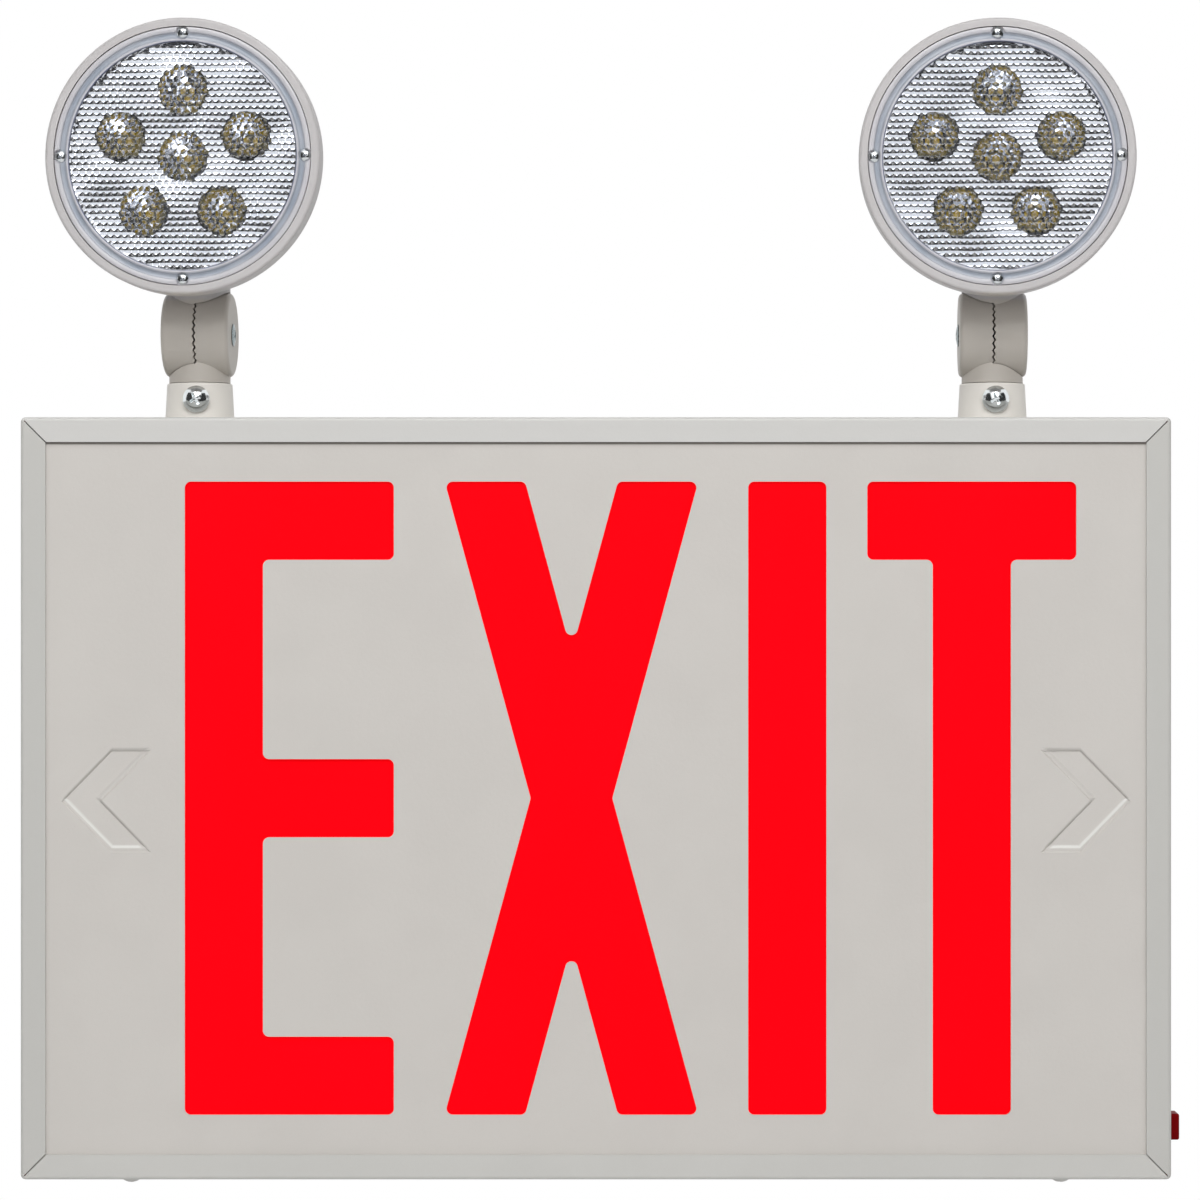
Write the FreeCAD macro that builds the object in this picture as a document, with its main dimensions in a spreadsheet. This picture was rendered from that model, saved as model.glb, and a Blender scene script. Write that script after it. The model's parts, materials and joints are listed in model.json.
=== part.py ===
import FreeCAD
import Part
import Sketcher
import math
import os
from types import SimpleNamespace

# Emergency exit light: a folded steel sign box with a stencil legend, and two swivelling
# lamp heads on toothed knuckles above it. The frame of the part: origin at the centre of the
# housing's back face, +Z up, +X to the reader's right, and the legend faces -Y, so "depth"
# below is always a distance from the back face towards -Y. Millimetres throughout.

SIZES = {
    # how far a cut runs past the material that it leaves
    "cut_past": 1.0,
    # folded steel box
    "sign_width": 369.0,
    "sign_height": 244.5,
    "sign_depth": 60.0,
    "frame_sheet": 1.2,
    "lip_width": 8.0,
    "skirt_depth": 14.0,
    "lip_bend": 1.2,
    "frame_corner": 1.6,
    "mitre_gap": 0.35,
    "mitre_stop": 1.2,
    "cover_gap": 0.25,
    "housing_sheet": 1.0,
    "housing_setback": 11.0,
    "housing_bend": 2.0,
    "tab_width": 22.0,
    "tab_gap": 1.3,
    # knockouts, half sheared and left closed
    "knockout_radius": 11.1,
    "knockout_step": 0.5,
    # stencil plate, red panel and its clips
    "face_sheet": 1.0,
    "face_gap": 0.3,
    "panel_sheet": 1.5,
    "panel_margin": 1.5,
    "clip_sheet": 0.8,
    "clip_length": 20.0,
    "clip_reach": 8.0,
    "clip_foot": 6.0,
    "clip_pitch": 90.0,
    # legend and chevrons
    "letter_height": 203.2,
    "stroke": 25.1,
    "letter_radius": 2.0,
    "legend_shift": 11.1,
    "e_width": 67.1,
    "x_width": 81.4,
    "x_arm": 25.8,
    "x_waist": 26.2,
    "t_width": 67.1,
    "gap_ex": 16.3,
    "gap_xi": 16.0,
    "gap_it": 13.1,
    "chevron_inset": 13.5,
    "chevron_width": 27.3,
    "chevron_height": 32.0,
    "chevron_arm": 11.7,
    "chevron_drop": 1.0,
    "chevron_slope": 0.45,
    # holes to the building
    "box_screw_spacing": 88.9,
    "box_screw_hole": 2.5,
    "entry_height": 45.0,
    "wall_screw_across": 300.0,
    "wall_screw_up": 170.0,
    "wall_screw_hole": 2.5,
    # screws that hold the front frame
    "cover_screw_inset": 34.5,
    "cover_screw_setback": 10.0,
    "cover_screw_head": 3.4,
    "cover_screw_dome": 2.1,
    "cover_screw_shank": 1.65,
    "cover_screw_length": 6.5,
    "thread_gap": 0.05,
    "screw_pass_gap": 0.4,
    # light strips behind the legend
    "strip_inset": 20.0,
    "strip_width": 10.0,
    "strip_depth": 36.0,
    "circuit_board": 1.6,
    "chip_length": 3.5,
    "chip_width": 2.8,
    "chip_height": 1.0,
    "chip_count": 12.0,
    # battery and its bracket
    "cell_radius": 11.25,
    "cell_length": 43.0,
    "cell_pitch": 22.0,
    "cell_count": 5.0,
    "battery_left": 119.0,
    "battery_drop": 62.0,
    "bracket_sheet": 1.0,
    "bracket_width": 14.0,
    "bracket_foot": 12.0,
    "bracket_gap": 0.3,
    "bracket_screw_head": 3.6,
    "bracket_screw_height": 2.2,
    "bracket_screw_shank": 1.9,
    # charger board
    "board_left": 15.0,
    "board_width": 120.0,
    "board_height": 84.0,
    "board_top": -8.0,
    "board_inset": 5.0,
    "part_inset": 15.0,
    "can_drop": 25.2,
    "can_edge": 0.75,
    "relay_drop": 42.0,
    "relay_edge": 0.5,
    "plug_wall": 1.0,
    "plug_well": 4.9,
    "standoff_height": 8.0,
    "standoff_flats": 6.0,
    "standoff_stud": 1.6,
    "board_screw_head": 2.8,
    "board_screw_height": 2.0,
    "board_screw_shank": 1.45,
    "board_screw_length": 6.0,
    "core_width": 42.0,
    "core_height": 35.0,
    "core_stack": 16.0,
    "core_leg": 7.0,
    "coil_wall": 6.0,
    "coil_gap": 0.3,
    "capacitor_radius": 6.0,
    "capacitor_height": 20.0,
    "capacitor_pitch": 15.0,
    "relay_width": 19.0,
    "relay_height": 15.0,
    "relay_depth": 15.5,
    "plug_width": 8.0,
    "plug_height": 6.0,
    "plug_depth": 7.0,
    "plug_pitch": 14.0,
    "terminal_width": 26.0,
    "terminal_height": 12.0,
    "terminal_depth": 14.0,
    "ground_screw_head": 4.0,
    "ground_screw_height": 2.5,
    # test button, its switch and the pilot lamp on the right-hand end
    "button_side": 8.5,
    "button_setback": 0.95,
    "button_drop": 107.3,
    "button_reach": 6.2,
    "button_edge": 0.7,
    "button_travel": 1.5,
    "button_gap": 0.35,
    "button_flange": 0.9,
    "button_flange_side": 10.6,
    "button_shank": 5.0,
    "button_shank_length": 6.5,
    "switch_side": 14.0,
    "switch_length": 13.0,
    "pilot_radius": 2.5,
    "pilot_collar": 3.1,
    "pilot_reach": 1.3,
    "pilot_edge": 1.17,
    "pilot_spacing": 12.8,
    "pilot_length": 8.0,
    # collars that carry the lamp heads
    "lamp_inset": 54.5,
    "lamp_depth": 30.0,
    "collar_height": 13.65,
    "collar_foot": 11.4,
    "collar_top": 10.65,
    "collar_edge": 0.5,
    "collar_barrel": 9.2,
    "collar_barrel_length": 8.0,
    "collar_nut_flats": 24.0,
    "collar_nut_height": 4.0,
    "collar_hole_gap": 0.3,
    "clamp_screw_height": 8.15,
    "clamp_screw_head": 4.35,
    "clamp_screw_dome": 3.2,
    "clamp_screw_shank": 1.9,
    "clamp_groove": 0.6,
    "clamp_tip_gap": 0.2,
    # stem and toothed knuckle
    "stem_shank": 7.5,
    "running_gap": 0.05,
    "swivel_gap": 0.2,
    "neck_radius": 10.0,
    "wire_bore": 3.5,
    "wire_turn": 6.0,
    "knuckle_rise": 29.65,
    "knuckle_radius": 13.75,
    "knuckle_half_width": 11.0,
    "knuckle_edge": 1.5,
    "knuckle_gap": 0.3,
    "tooth_count": 36.0,
    "tooth_depth": 0.6,
    "tooth_gap": 0.05,
    "tooth_crest": 0.2,
    "tooth_relief": 0.2,
    "tooth_root": 9.2,
    "hollow_outer": 8.5,
    "hollow_inner": 4.8,
    "hollow_depth": 4.0,
    "pivot_screw": 2.5,
    "pivot_gap": 0.08,
    "pivot_head": 4.5,
    "pivot_dome": 2.3,
    "pivot_nut_flats": 8.0,
    "pivot_nut_height": 4.0,
    "pivot_nut_gap": 0.1,
    "ring_sheet": 1.0,
    "ring_groove": 0.9,
    "ring_outer": 9.0,
    "ring_mouth": 6.0,
    "stem_tail": 3.0,
    # lamp head
    "head_neck": 10.65,
    "head_turn": -3.0,
    "head_front": 37.0,
    "head_back": 16.0,
    "rim_wall": 2.75,
    "rim_depth": 10.0,
    "rim_edge": 1.0,
    "bowl_step": 2.15,
    "bowl_taper": 21.0,
    "bowl_curve": 60.0,
    "bowl_edge": 5.0,
    "bowl_wall": 2.2,
    "lens_seat_radius": 41.4,
    "lens_seat_depth": 3.2,
    "lens_gap": 0.2,
    "lens_flange": 3.0,
    "lens_plate": 2.5,
    "lens_border": 5.1,
    "lens_groove": 0.9,
    "lens_screw_inset": 2.1,
    "lens_screw_head": 1.85,
    "lens_screw_height": 1.0,
    "lens_screw_shank": 1.0,
    "lens_screw_length": 8.0,
    "reflector_lap": 0.3,
    "reflector_sheet": 1.2,
    "reflector_ledge": 1.8,
    "cup_inset": 15.4,
    "cup_mouth": 8.0,
    "cup_floor": 2.7,
    "cup_depth": 9.2,
    "cup_wall": 1.2,
    "cup_curve": 14.0,
    "lamp_board_margin": 8.8,
    "led_radius": 2.3,
    "led_height": 2.0,
    "led_dome": 1.2,
}


class Size:
    """A length that carries its number and the sheet expression it comes from."""

    def __init__(self, value, text):
        self.value = value
        self.text = text

    def __add__(self, other):
        return Size(self.value + number(other), f"({self.text} + {words(other)})")

    def __radd__(self, other):
        return self + other

    def __sub__(self, other):
        return Size(self.value - number(other), f"({self.text} - {words(other)})")

    def __rsub__(self, other):
        return -self + other

    def __mul__(self, other):
        return Size(self.value * number(other), f"({self.text} * {words(other)})")

    def __rmul__(self, other):
        return self * other

    def __truediv__(self, other):
        return Size(self.value / number(other), f"({self.text} / {words(other)})")

    def __neg__(self):
        return self * -1


def number(place):
    """The plain number of a size or of a number."""
    return place.value if isinstance(place, Size) else float(place)


def words(place):
    """The expression of a size, or a number as text."""
    return place.text if isinstance(place, Size) else f"({place:.9f})"


doc = FreeCAD.newDocument("exit_light")
sheet = doc.addObject("Spreadsheet::Sheet", "Sizes")
for row, (alias, amount) in enumerate(SIZES.items(), start=1):
    sheet.set(f"A{row}", alias)
    sheet.set(f"B{row}", f"{amount}")
    sheet.setAlias(f"B{row}", alias)
doc.recompute()
S = SimpleNamespace(**{alias: Size(amount, f"Sizes.{alias}") for alias, amount in SIZES.items()})

# Places that several pieces share, each worked out once from the sizes above.
half_width = S.sign_width / 2
half_height = S.sign_height / 2
inner_half_width = half_width - S.frame_sheet
inner_half_height = half_height - S.frame_sheet
box_half_width = inner_half_width - S.cover_gap
box_half_height = inner_half_height - S.cover_gap
face_front = S.sign_depth - S.frame_sheet
face_back = face_front - S.face_sheet
panel_front = face_back - S.knockout_step
panel_back = panel_front - S.panel_sheet
lamp_x = half_width - S.lamp_inset
strip_length = (lamp_x - S.strip_inset) * 2
cover_screw_x = half_width - S.cover_screw_inset
cover_screw_depth = S.sign_depth - S.cover_screw_setback
chevron_tip = half_width - S.chevron_inset
housing_depth = S.sign_depth - S.housing_setback
knuckle_height = box_half_height + S.knuckle_rise
head_radius = S.lens_seat_radius + S.rim_wall
head_rise = head_radius + S.head_neck
head_height = knuckle_height + head_rise
bowl_radius = head_radius - S.bowl_step
bowl_back_radius = bowl_radius - S.bowl_taper
lens_radius = S.lens_seat_radius - S.lens_border
lens_screw_circle = S.lens_seat_radius - S.lens_screw_inset
reflector_radius = lens_radius + S.reflector_lap
cup_circle = reflector_radius - S.cup_inset
lamp_board_radius = cup_circle + S.lamp_board_margin
switch_face = box_half_width - S.housing_sheet
button_depth = S.sign_depth - S.skirt_depth - S.button_setback - S.button_side / 2
pilot_depth = button_depth - S.pilot_spacing
lens_seat = S.head_front - S.lens_seat_depth
lens_back = S.head_front - S.lens_gap - S.lens_plate
reflector_back = lens_seat - S.reflector_ledge / 2
reflector_front = reflector_back + S.reflector_sheet
cup_end = reflector_front - S.cup_depth
board_depth = S.housing_sheet + S.standoff_height
board_face = board_depth + S.circuit_board
shank_bottom = -S.knuckle_rise - S.collar_barrel_length - S.stem_tail

# Shares of a piece's own height or thickness.
DOME_SHARE = 0.8  # of a screw's dome, rounded over
STUD_SHARE = 0.8  # of the housing's sheet, reached by a welded stud

# How closely two coordinates or directions agree to count as the same.
SAME_PLACE = 1e-4
SAME_WAY = 1e-3

PARTS = []


def bind(item, name, amount):
    """Set a property to a size and tie it to the sheet."""
    if isinstance(amount, Size):
        item.setExpression(name, amount.text)
    else:
        item.setExpression(name, None)
        setattr(item, name, amount)


def new_body(label, x=None, y=None, z=None, turn=None):
    """An empty body with its label, its place in the sign and its turn about the vertical."""
    body = doc.addObject("PartDesign::Body", "Body")
    body.Label = label
    if turn is not None:
        body.Placement.Rotation = FreeCAD.Rotation(FreeCAD.Vector(0, 0, 1), number(turn))
        body.setExpression("Placement.Rotation.Angle", words(turn))
    for axis, amount in (("x", x), ("y", y), ("z", z)):
        if amount is not None:
            body.setExpression(f"Placement.Base.{axis}", words(amount))
    PARTS.append(body)
    return body


def new_sketch(body, role, lift=0, along=0, up=0):
    """A sketch on one of the body's own planes, lifted along its normal and shifted in it."""
    plane = next(item for item in body.Origin.OriginFeatures if item.Role == role)
    sketch = body.newObject("Sketcher::SketchObject", "Outline")
    sketch.AttachmentSupport = [(plane, "")]
    sketch.MapMode = "FlatFace"
    for axis, amount in (("x", along), ("y", up), ("z", lift)):
        sketch.setExpression(f"AttachmentOffset.Base.{axis}", words(amount))
    return sketch


def hold_point(sketch, curve, end, point):
    """Constraints that keep one point at its distances from the sketch's origin."""
    held = []
    for kind, axis, amount in (("DistanceX", -2, point[0]), ("DistanceY", -1, point[1])):
        if number(amount) == 0:
            held.append((Sketcher.Constraint("PointOnObject", curve, end, axis), None))
        else:
            rule = Sketcher.Constraint(kind, -1, 1, curve, end, number(amount))
            held.append((rule, amount if isinstance(amount, Size) else None))
    return held


def add_rules(sketch, held):
    """Add constraints in one go, then tie those that come from sizes."""
    first = sketch.ConstraintCount
    sketch.addConstraint([rule for rule, _ in held])
    for index, (_, amount) in enumerate(held):
        if amount is not None:
            sketch.setExpression(f"Constraints[{first + index}]", amount.text)


def arc_between(start, end, radius):
    """The short arc of a signed radius between two points: positive bulges to the right."""
    chord = end - start
    half = chord.Length / 2
    side = FreeCAD.Vector(chord.y, -chord.x, 0).normalize()
    rise = math.sqrt(radius * radius - half * half)
    turn = 1 if radius > 0 else -1
    centre = (start + end) / 2 - side * rise * turn
    circle = Part.Circle(centre, FreeCAD.Vector(0, 0, 1), abs(radius))
    first, last = (start, end) if turn > 0 else (end, start)
    return Part.ArcOfCircle(circle, circle.parameter(first), circle.parameter(last))


def outline(sketch, points):
    """A closed outline. A third entry on a point is the radius of an arc to the next point."""
    first = sketch.GeometryCount
    count = len(points)
    corners = [FreeCAD.Vector(number(point[0]), number(point[1]), 0) for point in points]
    curves = []
    ends = []
    held = []
    for index, point in enumerate(points):
        start, end = corners[index], corners[(index + 1) % count]
        if len(point) == 3:
            curves.append(arc_between(start, end, number(point[2])))
            ends.append((1, 2) if number(point[2]) > 0 else (2, 1))
        else:
            curves.append(Part.LineSegment(start, end))
            ends.append((1, 2))
    sketch.addGeometry(curves, False)
    for index, point in enumerate(points):
        after = (index + 1) % count
        join = Sketcher.Constraint("Coincident", first + index, ends[index][1],
                                   first + after, ends[after][0])
        held.append((join, None))
        held.extend(hold_point(sketch, first + index, ends[index][0], point))
        if len(point) == 3:
            size = point[2] if number(point[2]) > 0 else -point[2]
            held.append((Sketcher.Constraint("Radius", first + index, number(size)), size))
    add_rules(sketch, held)


def rectangle(sketch, left, right, low, high):
    """A rectangle between two pairs of limits."""
    outline(sketch, [(left, low), (right, low), (right, high), (left, high)])


def circle(sketch, x, y, radius):
    """A circle held at its centre and radius."""
    index = sketch.GeometryCount
    place = FreeCAD.Vector(number(x), number(y), 0)
    sketch.addGeometry(Part.Circle(place, FreeCAD.Vector(0, 0, 1), number(radius)), False)
    held = [(Sketcher.Constraint("Radius", index, number(radius)), radius)]
    if number(x) == 0 and number(y) == 0:
        held.append((Sketcher.Constraint("Coincident", index, 3, -1, 1), None))
    else:
        held.extend(hold_point(sketch, index, 3, (x, y)))
    add_rules(sketch, held)


def hexagon(sketch, x, y, flats):
    """A hexagon by its width across flats, with two flats level."""
    reach = flats / math.sqrt(3)
    corners = []
    for step in range(6):
        angle = math.radians(60 * step)
        corners.append((x + reach * math.cos(angle), y + reach * math.sin(angle)))
    outline(sketch, corners)


def circle_of(count, radius, turn=90):
    """Places evenly round a circle, the first one at the given angle."""
    places = []
    for step in range(count):
        angle = math.radians(turn + 360 * step / count)
        places.append((radius * math.cos(angle), radius * math.sin(angle)))
    return places


def sweep_feature(body, kind, sketch, length, back):
    """A pad or pocket of a sketch; a pad goes along the plane's normal unless back is set."""
    feature = body.newObject(f"PartDesign::{kind}", kind)
    feature.Profile = sketch
    feature.Reversed = back
    bind(feature, "Length", length)
    doc.recompute()
    return feature


def pad(body, sketch, length, back=False):
    """Add material along the sketch's normal."""
    return sweep_feature(body, "Pad", sketch, length, back)


def pocket(body, sketch, length, back=False):
    """Cut material against the sketch's normal, or along it if back is set."""
    before = body.Shape.Volume
    feature = sweep_feature(body, "Pocket", sketch, length, back)
    if body.Shape.Volume >= before:
        raise RuntimeError(f"a pocket in {body.Label} cuts nothing")
    return feature


def turn_feature(body, kind, sketch, axis):
    """A full turn of a sketch about one of its own axes."""
    feature = body.newObject(f"PartDesign::{kind}", kind)
    feature.Profile = sketch
    feature.ReferenceAxis = (sketch, [axis])
    feature.Angle = 360
    doc.recompute()
    return feature


def pattern(body, kind, originals, role, count, amount):
    """Repeat features round an axis of the body, or along it."""
    axis = next(item for item in body.Origin.OriginFeatures if item.Role == role)
    feature = body.newObject(f"PartDesign::{kind}", kind)
    feature.Originals = originals
    if kind == "PolarPattern":
        feature.Axis = (axis, [""])
        feature.Angle = amount
    else:
        feature.Direction = (axis, [""])
        bind(feature, "Length", amount)
    feature.Occurrences = int(number(count))
    body.Tip = feature
    doc.recompute()
    return feature


def round_edges(body, radius, wanted, kind="Fillet"):
    """Round or bevel the tip's edges that the test picks."""
    base = body.Tip
    names = [f"Edge{index}" for index, edge in enumerate(base.Shape.Edges, 1) if wanted(edge)]
    if not names:
        raise RuntimeError(f"no edge to round in {body.Label}")
    feature = body.newObject(f"PartDesign::{kind}", kind)
    feature.Base = (base, names)
    bind(feature, "Radius" if kind == "Fillet" else "Size", radius)
    doc.recompute()
    return feature


def near(value, place):
    """Whether a coordinate lies at a place."""
    return abs(value - number(place)) < SAME_PLACE


def flat_at(edge, axis, place):
    """Whether an edge lies wholly in the plane at a place along an axis."""
    box = edge.BoundBox
    low = getattr(box, f"{axis}Min")
    high = getattr(box, f"{axis}Max")
    return near(low, place) and near(high, place)


def runs_along(edge, axis):
    """Whether an edge is straight and parallel to an axis."""
    if edge.Curve.TypeId != "Part::GeomLine":
        return False
    return abs(getattr(edge.Curve.Direction, axis)) > 1 - SAME_WAY


# ---------------------------------------------------------------------------------------
# The folded box: a back pan and a picture frame with mitred lips that slides over it.
# ---------------------------------------------------------------------------------------


def make_back_housing():
    """The pan: five folded walls, closed knockouts, tabs for the cover screws, all holes."""
    body = new_body("back_housing")
    outer = new_sketch(body, "XZ_Plane")
    rectangle(outer, -box_half_width, box_half_width, -box_half_height, box_half_height)
    pad(body, outer, housing_depth)
    round_edges(body, S.housing_bend, lambda edge: runs_along(edge, "y") or flat_at(edge, "Y", 0))
    hollow = new_sketch(body, "XZ_Plane", housing_depth)
    rectangle(hollow, -switch_face, switch_face,
              S.housing_sheet - box_half_height, box_half_height - S.housing_sheet)
    pocket(body, hollow, housing_depth - S.housing_sheet)
    tabs = new_sketch(body, "XZ_Plane", housing_depth)
    for side in (-1, 1):
        middle = cover_screw_x * side
        rectangle(tabs, middle - S.tab_width / 2, middle + S.tab_width / 2,
                  -box_half_height, S.housing_sheet - box_half_height)
    pad(body, tabs, panel_back - S.tab_gap - housing_depth)
    cut_wall_holes(body)
    cut_back_holes(body)
    press_knockouts(body)


def cut_wall_holes(body):
    """Holes through the folded walls: cover screws below, collars above, button at the end."""
    below = new_sketch(body, "XY_Plane", -box_half_height)
    above = new_sketch(body, "XY_Plane", box_half_height)
    for side in (-1, 1):
        circle(below, cover_screw_x * side, -cover_screw_depth,
               S.cover_screw_shank + S.thread_gap)
        circle(above, lamp_x * side, -S.lamp_depth, S.collar_barrel + S.collar_hole_gap)
    pocket(body, below, S.housing_sheet, back=True)
    pocket(body, above, S.housing_sheet)
    end = new_sketch(body, "YZ_Plane", box_half_width)
    reach = S.button_side / 2 + S.button_gap
    rectangle(end, -button_depth - reach, reach - button_depth,
              -S.button_drop - reach, reach - S.button_drop)
    circle(end, -pilot_depth, -S.button_drop, S.pilot_radius + S.thread_gap)
    pocket(body, end, S.housing_sheet)


def cut_back_holes(body):
    """Holes in the back wall for the building's screws and for what is fixed inside."""
    back = new_sketch(body, "XZ_Plane", S.housing_sheet)
    for side in (-1, 1):
        circle(back, S.box_screw_spacing * side / 2, S.entry_height, S.box_screw_hole)
        for level in (-1, 1):
            circle(back, S.wall_screw_across * side / 2, S.wall_screw_up * level / 2,
                   S.wall_screw_hole)
    for x, z in bracket_feet():
        circle(back, x, z, S.bracket_screw_shank + S.thread_gap)
    for x, z in standoff_places():
        circle(back, x, z, S.standoff_stud + S.thread_gap)
    circle(back, ground_place()[0], ground_place()[1], S.bracket_screw_shank + S.thread_gap)
    pocket(body, back, S.housing_sheet)


def press_knockouts(body):
    """Round conduit knockouts, pressed half way through the back, the top and the left end."""
    walls = (
        ("XZ_Plane", 0, 0, S.entry_height, 1),
        ("XY_Plane", box_half_height, 0, -housing_depth / 2, -1),
        ("YZ_Plane", -box_half_width, -housing_depth / 2, 0, 1),
    )
    for role, outside, across, up, inward in walls:
        inside = outside + S.housing_sheet * inward
        dent = new_sketch(body, role, outside)
        circle(dent, across, up, S.knockout_radius)
        pocket(body, dent, S.knockout_step, back=inward > 0)
        boss = new_sketch(body, role, inside)
        circle(boss, across, up, S.knockout_radius)
        pad(body, boss, S.knockout_step, back=inward < 0)


def make_front_frame():
    """The folded frame: a skirt over the pan and four lips mitred at the corners."""
    body = new_body("front_frame")
    outer = new_sketch(body, "XZ_Plane", S.sign_depth - S.skirt_depth)
    rectangle(outer, -half_width, half_width, -half_height, half_height)
    pad(body, outer, S.skirt_depth)
    round_edges(body, S.frame_corner, lambda edge: runs_along(edge, "y"))
    round_edges(body, S.lip_bend, lambda edge: flat_at(edge, "Y", -S.sign_depth))
    inside = new_sketch(body, "XZ_Plane", face_front)
    rectangle(inside, -inner_half_width, inner_half_width, -inner_half_height, inner_half_height)
    pocket(body, inside, S.skirt_depth - S.frame_sheet)
    opening_x = half_width - S.lip_width
    opening_z = half_height - S.lip_width
    opening = new_sketch(body, "XZ_Plane", S.sign_depth)
    rectangle(opening, -opening_x, opening_x, -opening_z, opening_z)
    pocket(body, opening, S.frame_sheet)
    mitres = new_sketch(body, "XZ_Plane", S.sign_depth)
    shift = S.mitre_gap / (2 * math.sqrt(2))
    begin = -S.mitre_gap
    run = S.lip_width - S.mitre_stop
    for side in (-1, 1):
        for level in (-1, 1):
            outline(mitres, [
                ((opening_x + begin - shift) * side, (opening_z + begin + shift) * level),
                ((opening_x + begin + shift) * side, (opening_z + begin - shift) * level),
                ((opening_x + run + shift) * side, (opening_z + run - shift) * level),
                ((opening_x + run - shift) * side, (opening_z + run + shift) * level),
            ])
    pocket(body, mitres, S.frame_sheet)
    below = new_sketch(body, "XY_Plane", -half_height)
    for side in (-1, 1):
        circle(below, cover_screw_x * side, -cover_screw_depth,
               S.cover_screw_shank + S.screw_pass_gap)
    pocket(body, below, S.frame_sheet, back=True)


def make_cover_screws():
    """Two domed screws that hold the frame to the pan from below."""
    body = new_body("cover_screws")
    heads = new_sketch(body, "XY_Plane", -half_height)
    shanks = new_sketch(body, "XY_Plane", -half_height)
    for side in (-1, 1):
        x = cover_screw_x * side
        circle(heads, x, -cover_screw_depth, S.cover_screw_head)
        circle(shanks, x, -cover_screw_depth, S.cover_screw_shank)
    pad(body, heads, S.cover_screw_dome, back=True)
    low = -half_height - S.cover_screw_dome
    round_edges(body, S.cover_screw_dome * DOME_SHARE, lambda edge: flat_at(edge, "Z", low))
    pad(body, shanks, S.cover_screw_length)


# ---------------------------------------------------------------------------------------
# The stencil: letters cut through, chevrons half sheared, a red panel and clips behind.
# ---------------------------------------------------------------------------------------


def letter_e(left, top):
    """The outline of a block E from its left edge and its half height."""
    right = left + S.e_width
    stem = left + S.stroke
    arm = S.stroke / 2
    return [(left, -top), (right, -top), (right, S.stroke - top), (stem, S.stroke - top),
            (stem, -arm), (right, -arm), (right, arm), (stem, arm),
            (stem, top - S.stroke), (right, top - S.stroke), (right, top), (left, top)]


def letter_x(left, top):
    """The outline of a block X: four arms with parallel edges that meet at the waist."""
    middle = left + S.x_width / 2
    wide = S.x_width / 2
    waist = S.x_waist / 2
    notch = wide - S.x_arm
    drop = notch * top / (wide - waist)
    return [(middle - wide, -top), (middle - notch, -top), (middle, drop - top),
            (middle + notch, -top), (middle + wide, -top), (middle + waist, 0),
            (middle + wide, top), (middle + notch, top), (middle, top - drop),
            (middle - notch, top), (middle - wide, top), (middle - waist, 0)]


def letter_t(left, top):
    """The outline of a block T."""
    right = left + S.t_width
    stem_left = left + (S.t_width - S.stroke) / 2
    stem_right = stem_left + S.stroke
    return [(stem_left, -top), (stem_right, -top), (stem_right, top - S.stroke),
            (right, top - S.stroke), (right, top), (left, top),
            (left, top - S.stroke), (stem_left, top - S.stroke)]


def chevron(side):
    """A chevron that points to one end of the sign."""
    tip = chevron_tip * side
    reach = S.chevron_height / 2
    inner = (chevron_tip - S.chevron_width) * side
    shoulder = inner + S.chevron_arm * side
    low = -S.chevron_drop - reach
    high = reach - S.chevron_drop
    return [(tip, -S.chevron_drop), (shoulder, high), (inner, high),
            (tip - S.chevron_arm * side, -S.chevron_drop), (inner, low), (shoulder, low)]


def make_stencil_plate():
    """The face plate behind the lips, with the legend cut through it."""
    body = new_body("stencil_plate")
    sheet_outline = new_sketch(body, "XZ_Plane", face_back)
    wide = inner_half_width - S.face_gap
    tall = inner_half_height - S.face_gap
    rectangle(sheet_outline, -wide, wide, -tall, tall)
    pad(body, sheet_outline, S.face_sheet)
    top = S.letter_height / 2
    total = (S.e_width + S.gap_ex + S.x_width + S.gap_xi + S.stroke + S.gap_it + S.t_width)
    e_left = S.legend_shift - total / 2
    x_left = e_left + S.e_width + S.gap_ex
    i_left = x_left + S.x_width + S.gap_xi
    t_left = i_left + S.stroke + S.gap_it
    legend = new_sketch(body, "XZ_Plane", face_front)
    outline(legend, letter_e(e_left, top))
    outline(legend, letter_x(x_left, top))
    rectangle(legend, i_left, i_left + S.stroke, -top, top)
    outline(legend, letter_t(t_left, top))
    pocket(body, legend, S.face_sheet)
    edge_of_plate = number(wide - S.face_gap)
    round_edges(body, S.letter_radius, lambda edge: runs_along(edge, "y")
                and abs(edge.CenterOfMass.x) < edge_of_plate)
    for side in (-1, 1):
        dent = new_sketch(body, "XZ_Plane", face_front)
        outline(dent, chevron(side))
        pocket(body, dent, S.knockout_step)
        boss = new_sketch(body, "XZ_Plane", face_back)
        outline(boss, chevron(side))
        pad(body, boss, S.knockout_step, back=True)
    inner_end = number(chevron_tip - S.chevron_width - S.chevron_slope)
    outer_end = number(chevron_tip + S.chevron_slope)
    round_edges(body, S.chevron_slope, lambda edge: flat_at(edge, "Y", -face_front)
                and inner_end < abs(edge.CenterOfMass.x) < outer_end
                and abs(edge.CenterOfMass.z) < number(S.chevron_height), "Chamfer")


def make_red_panel():
    """The translucent panel that rests on the backs of the chevrons."""
    body = new_body("red_panel")
    flat = new_sketch(body, "XZ_Plane", panel_back)
    wide = inner_half_width - S.panel_margin
    tall = inner_half_height - S.panel_margin
    rectangle(flat, -wide, wide, -tall, tall)
    pad(body, flat, S.panel_sheet)


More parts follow.
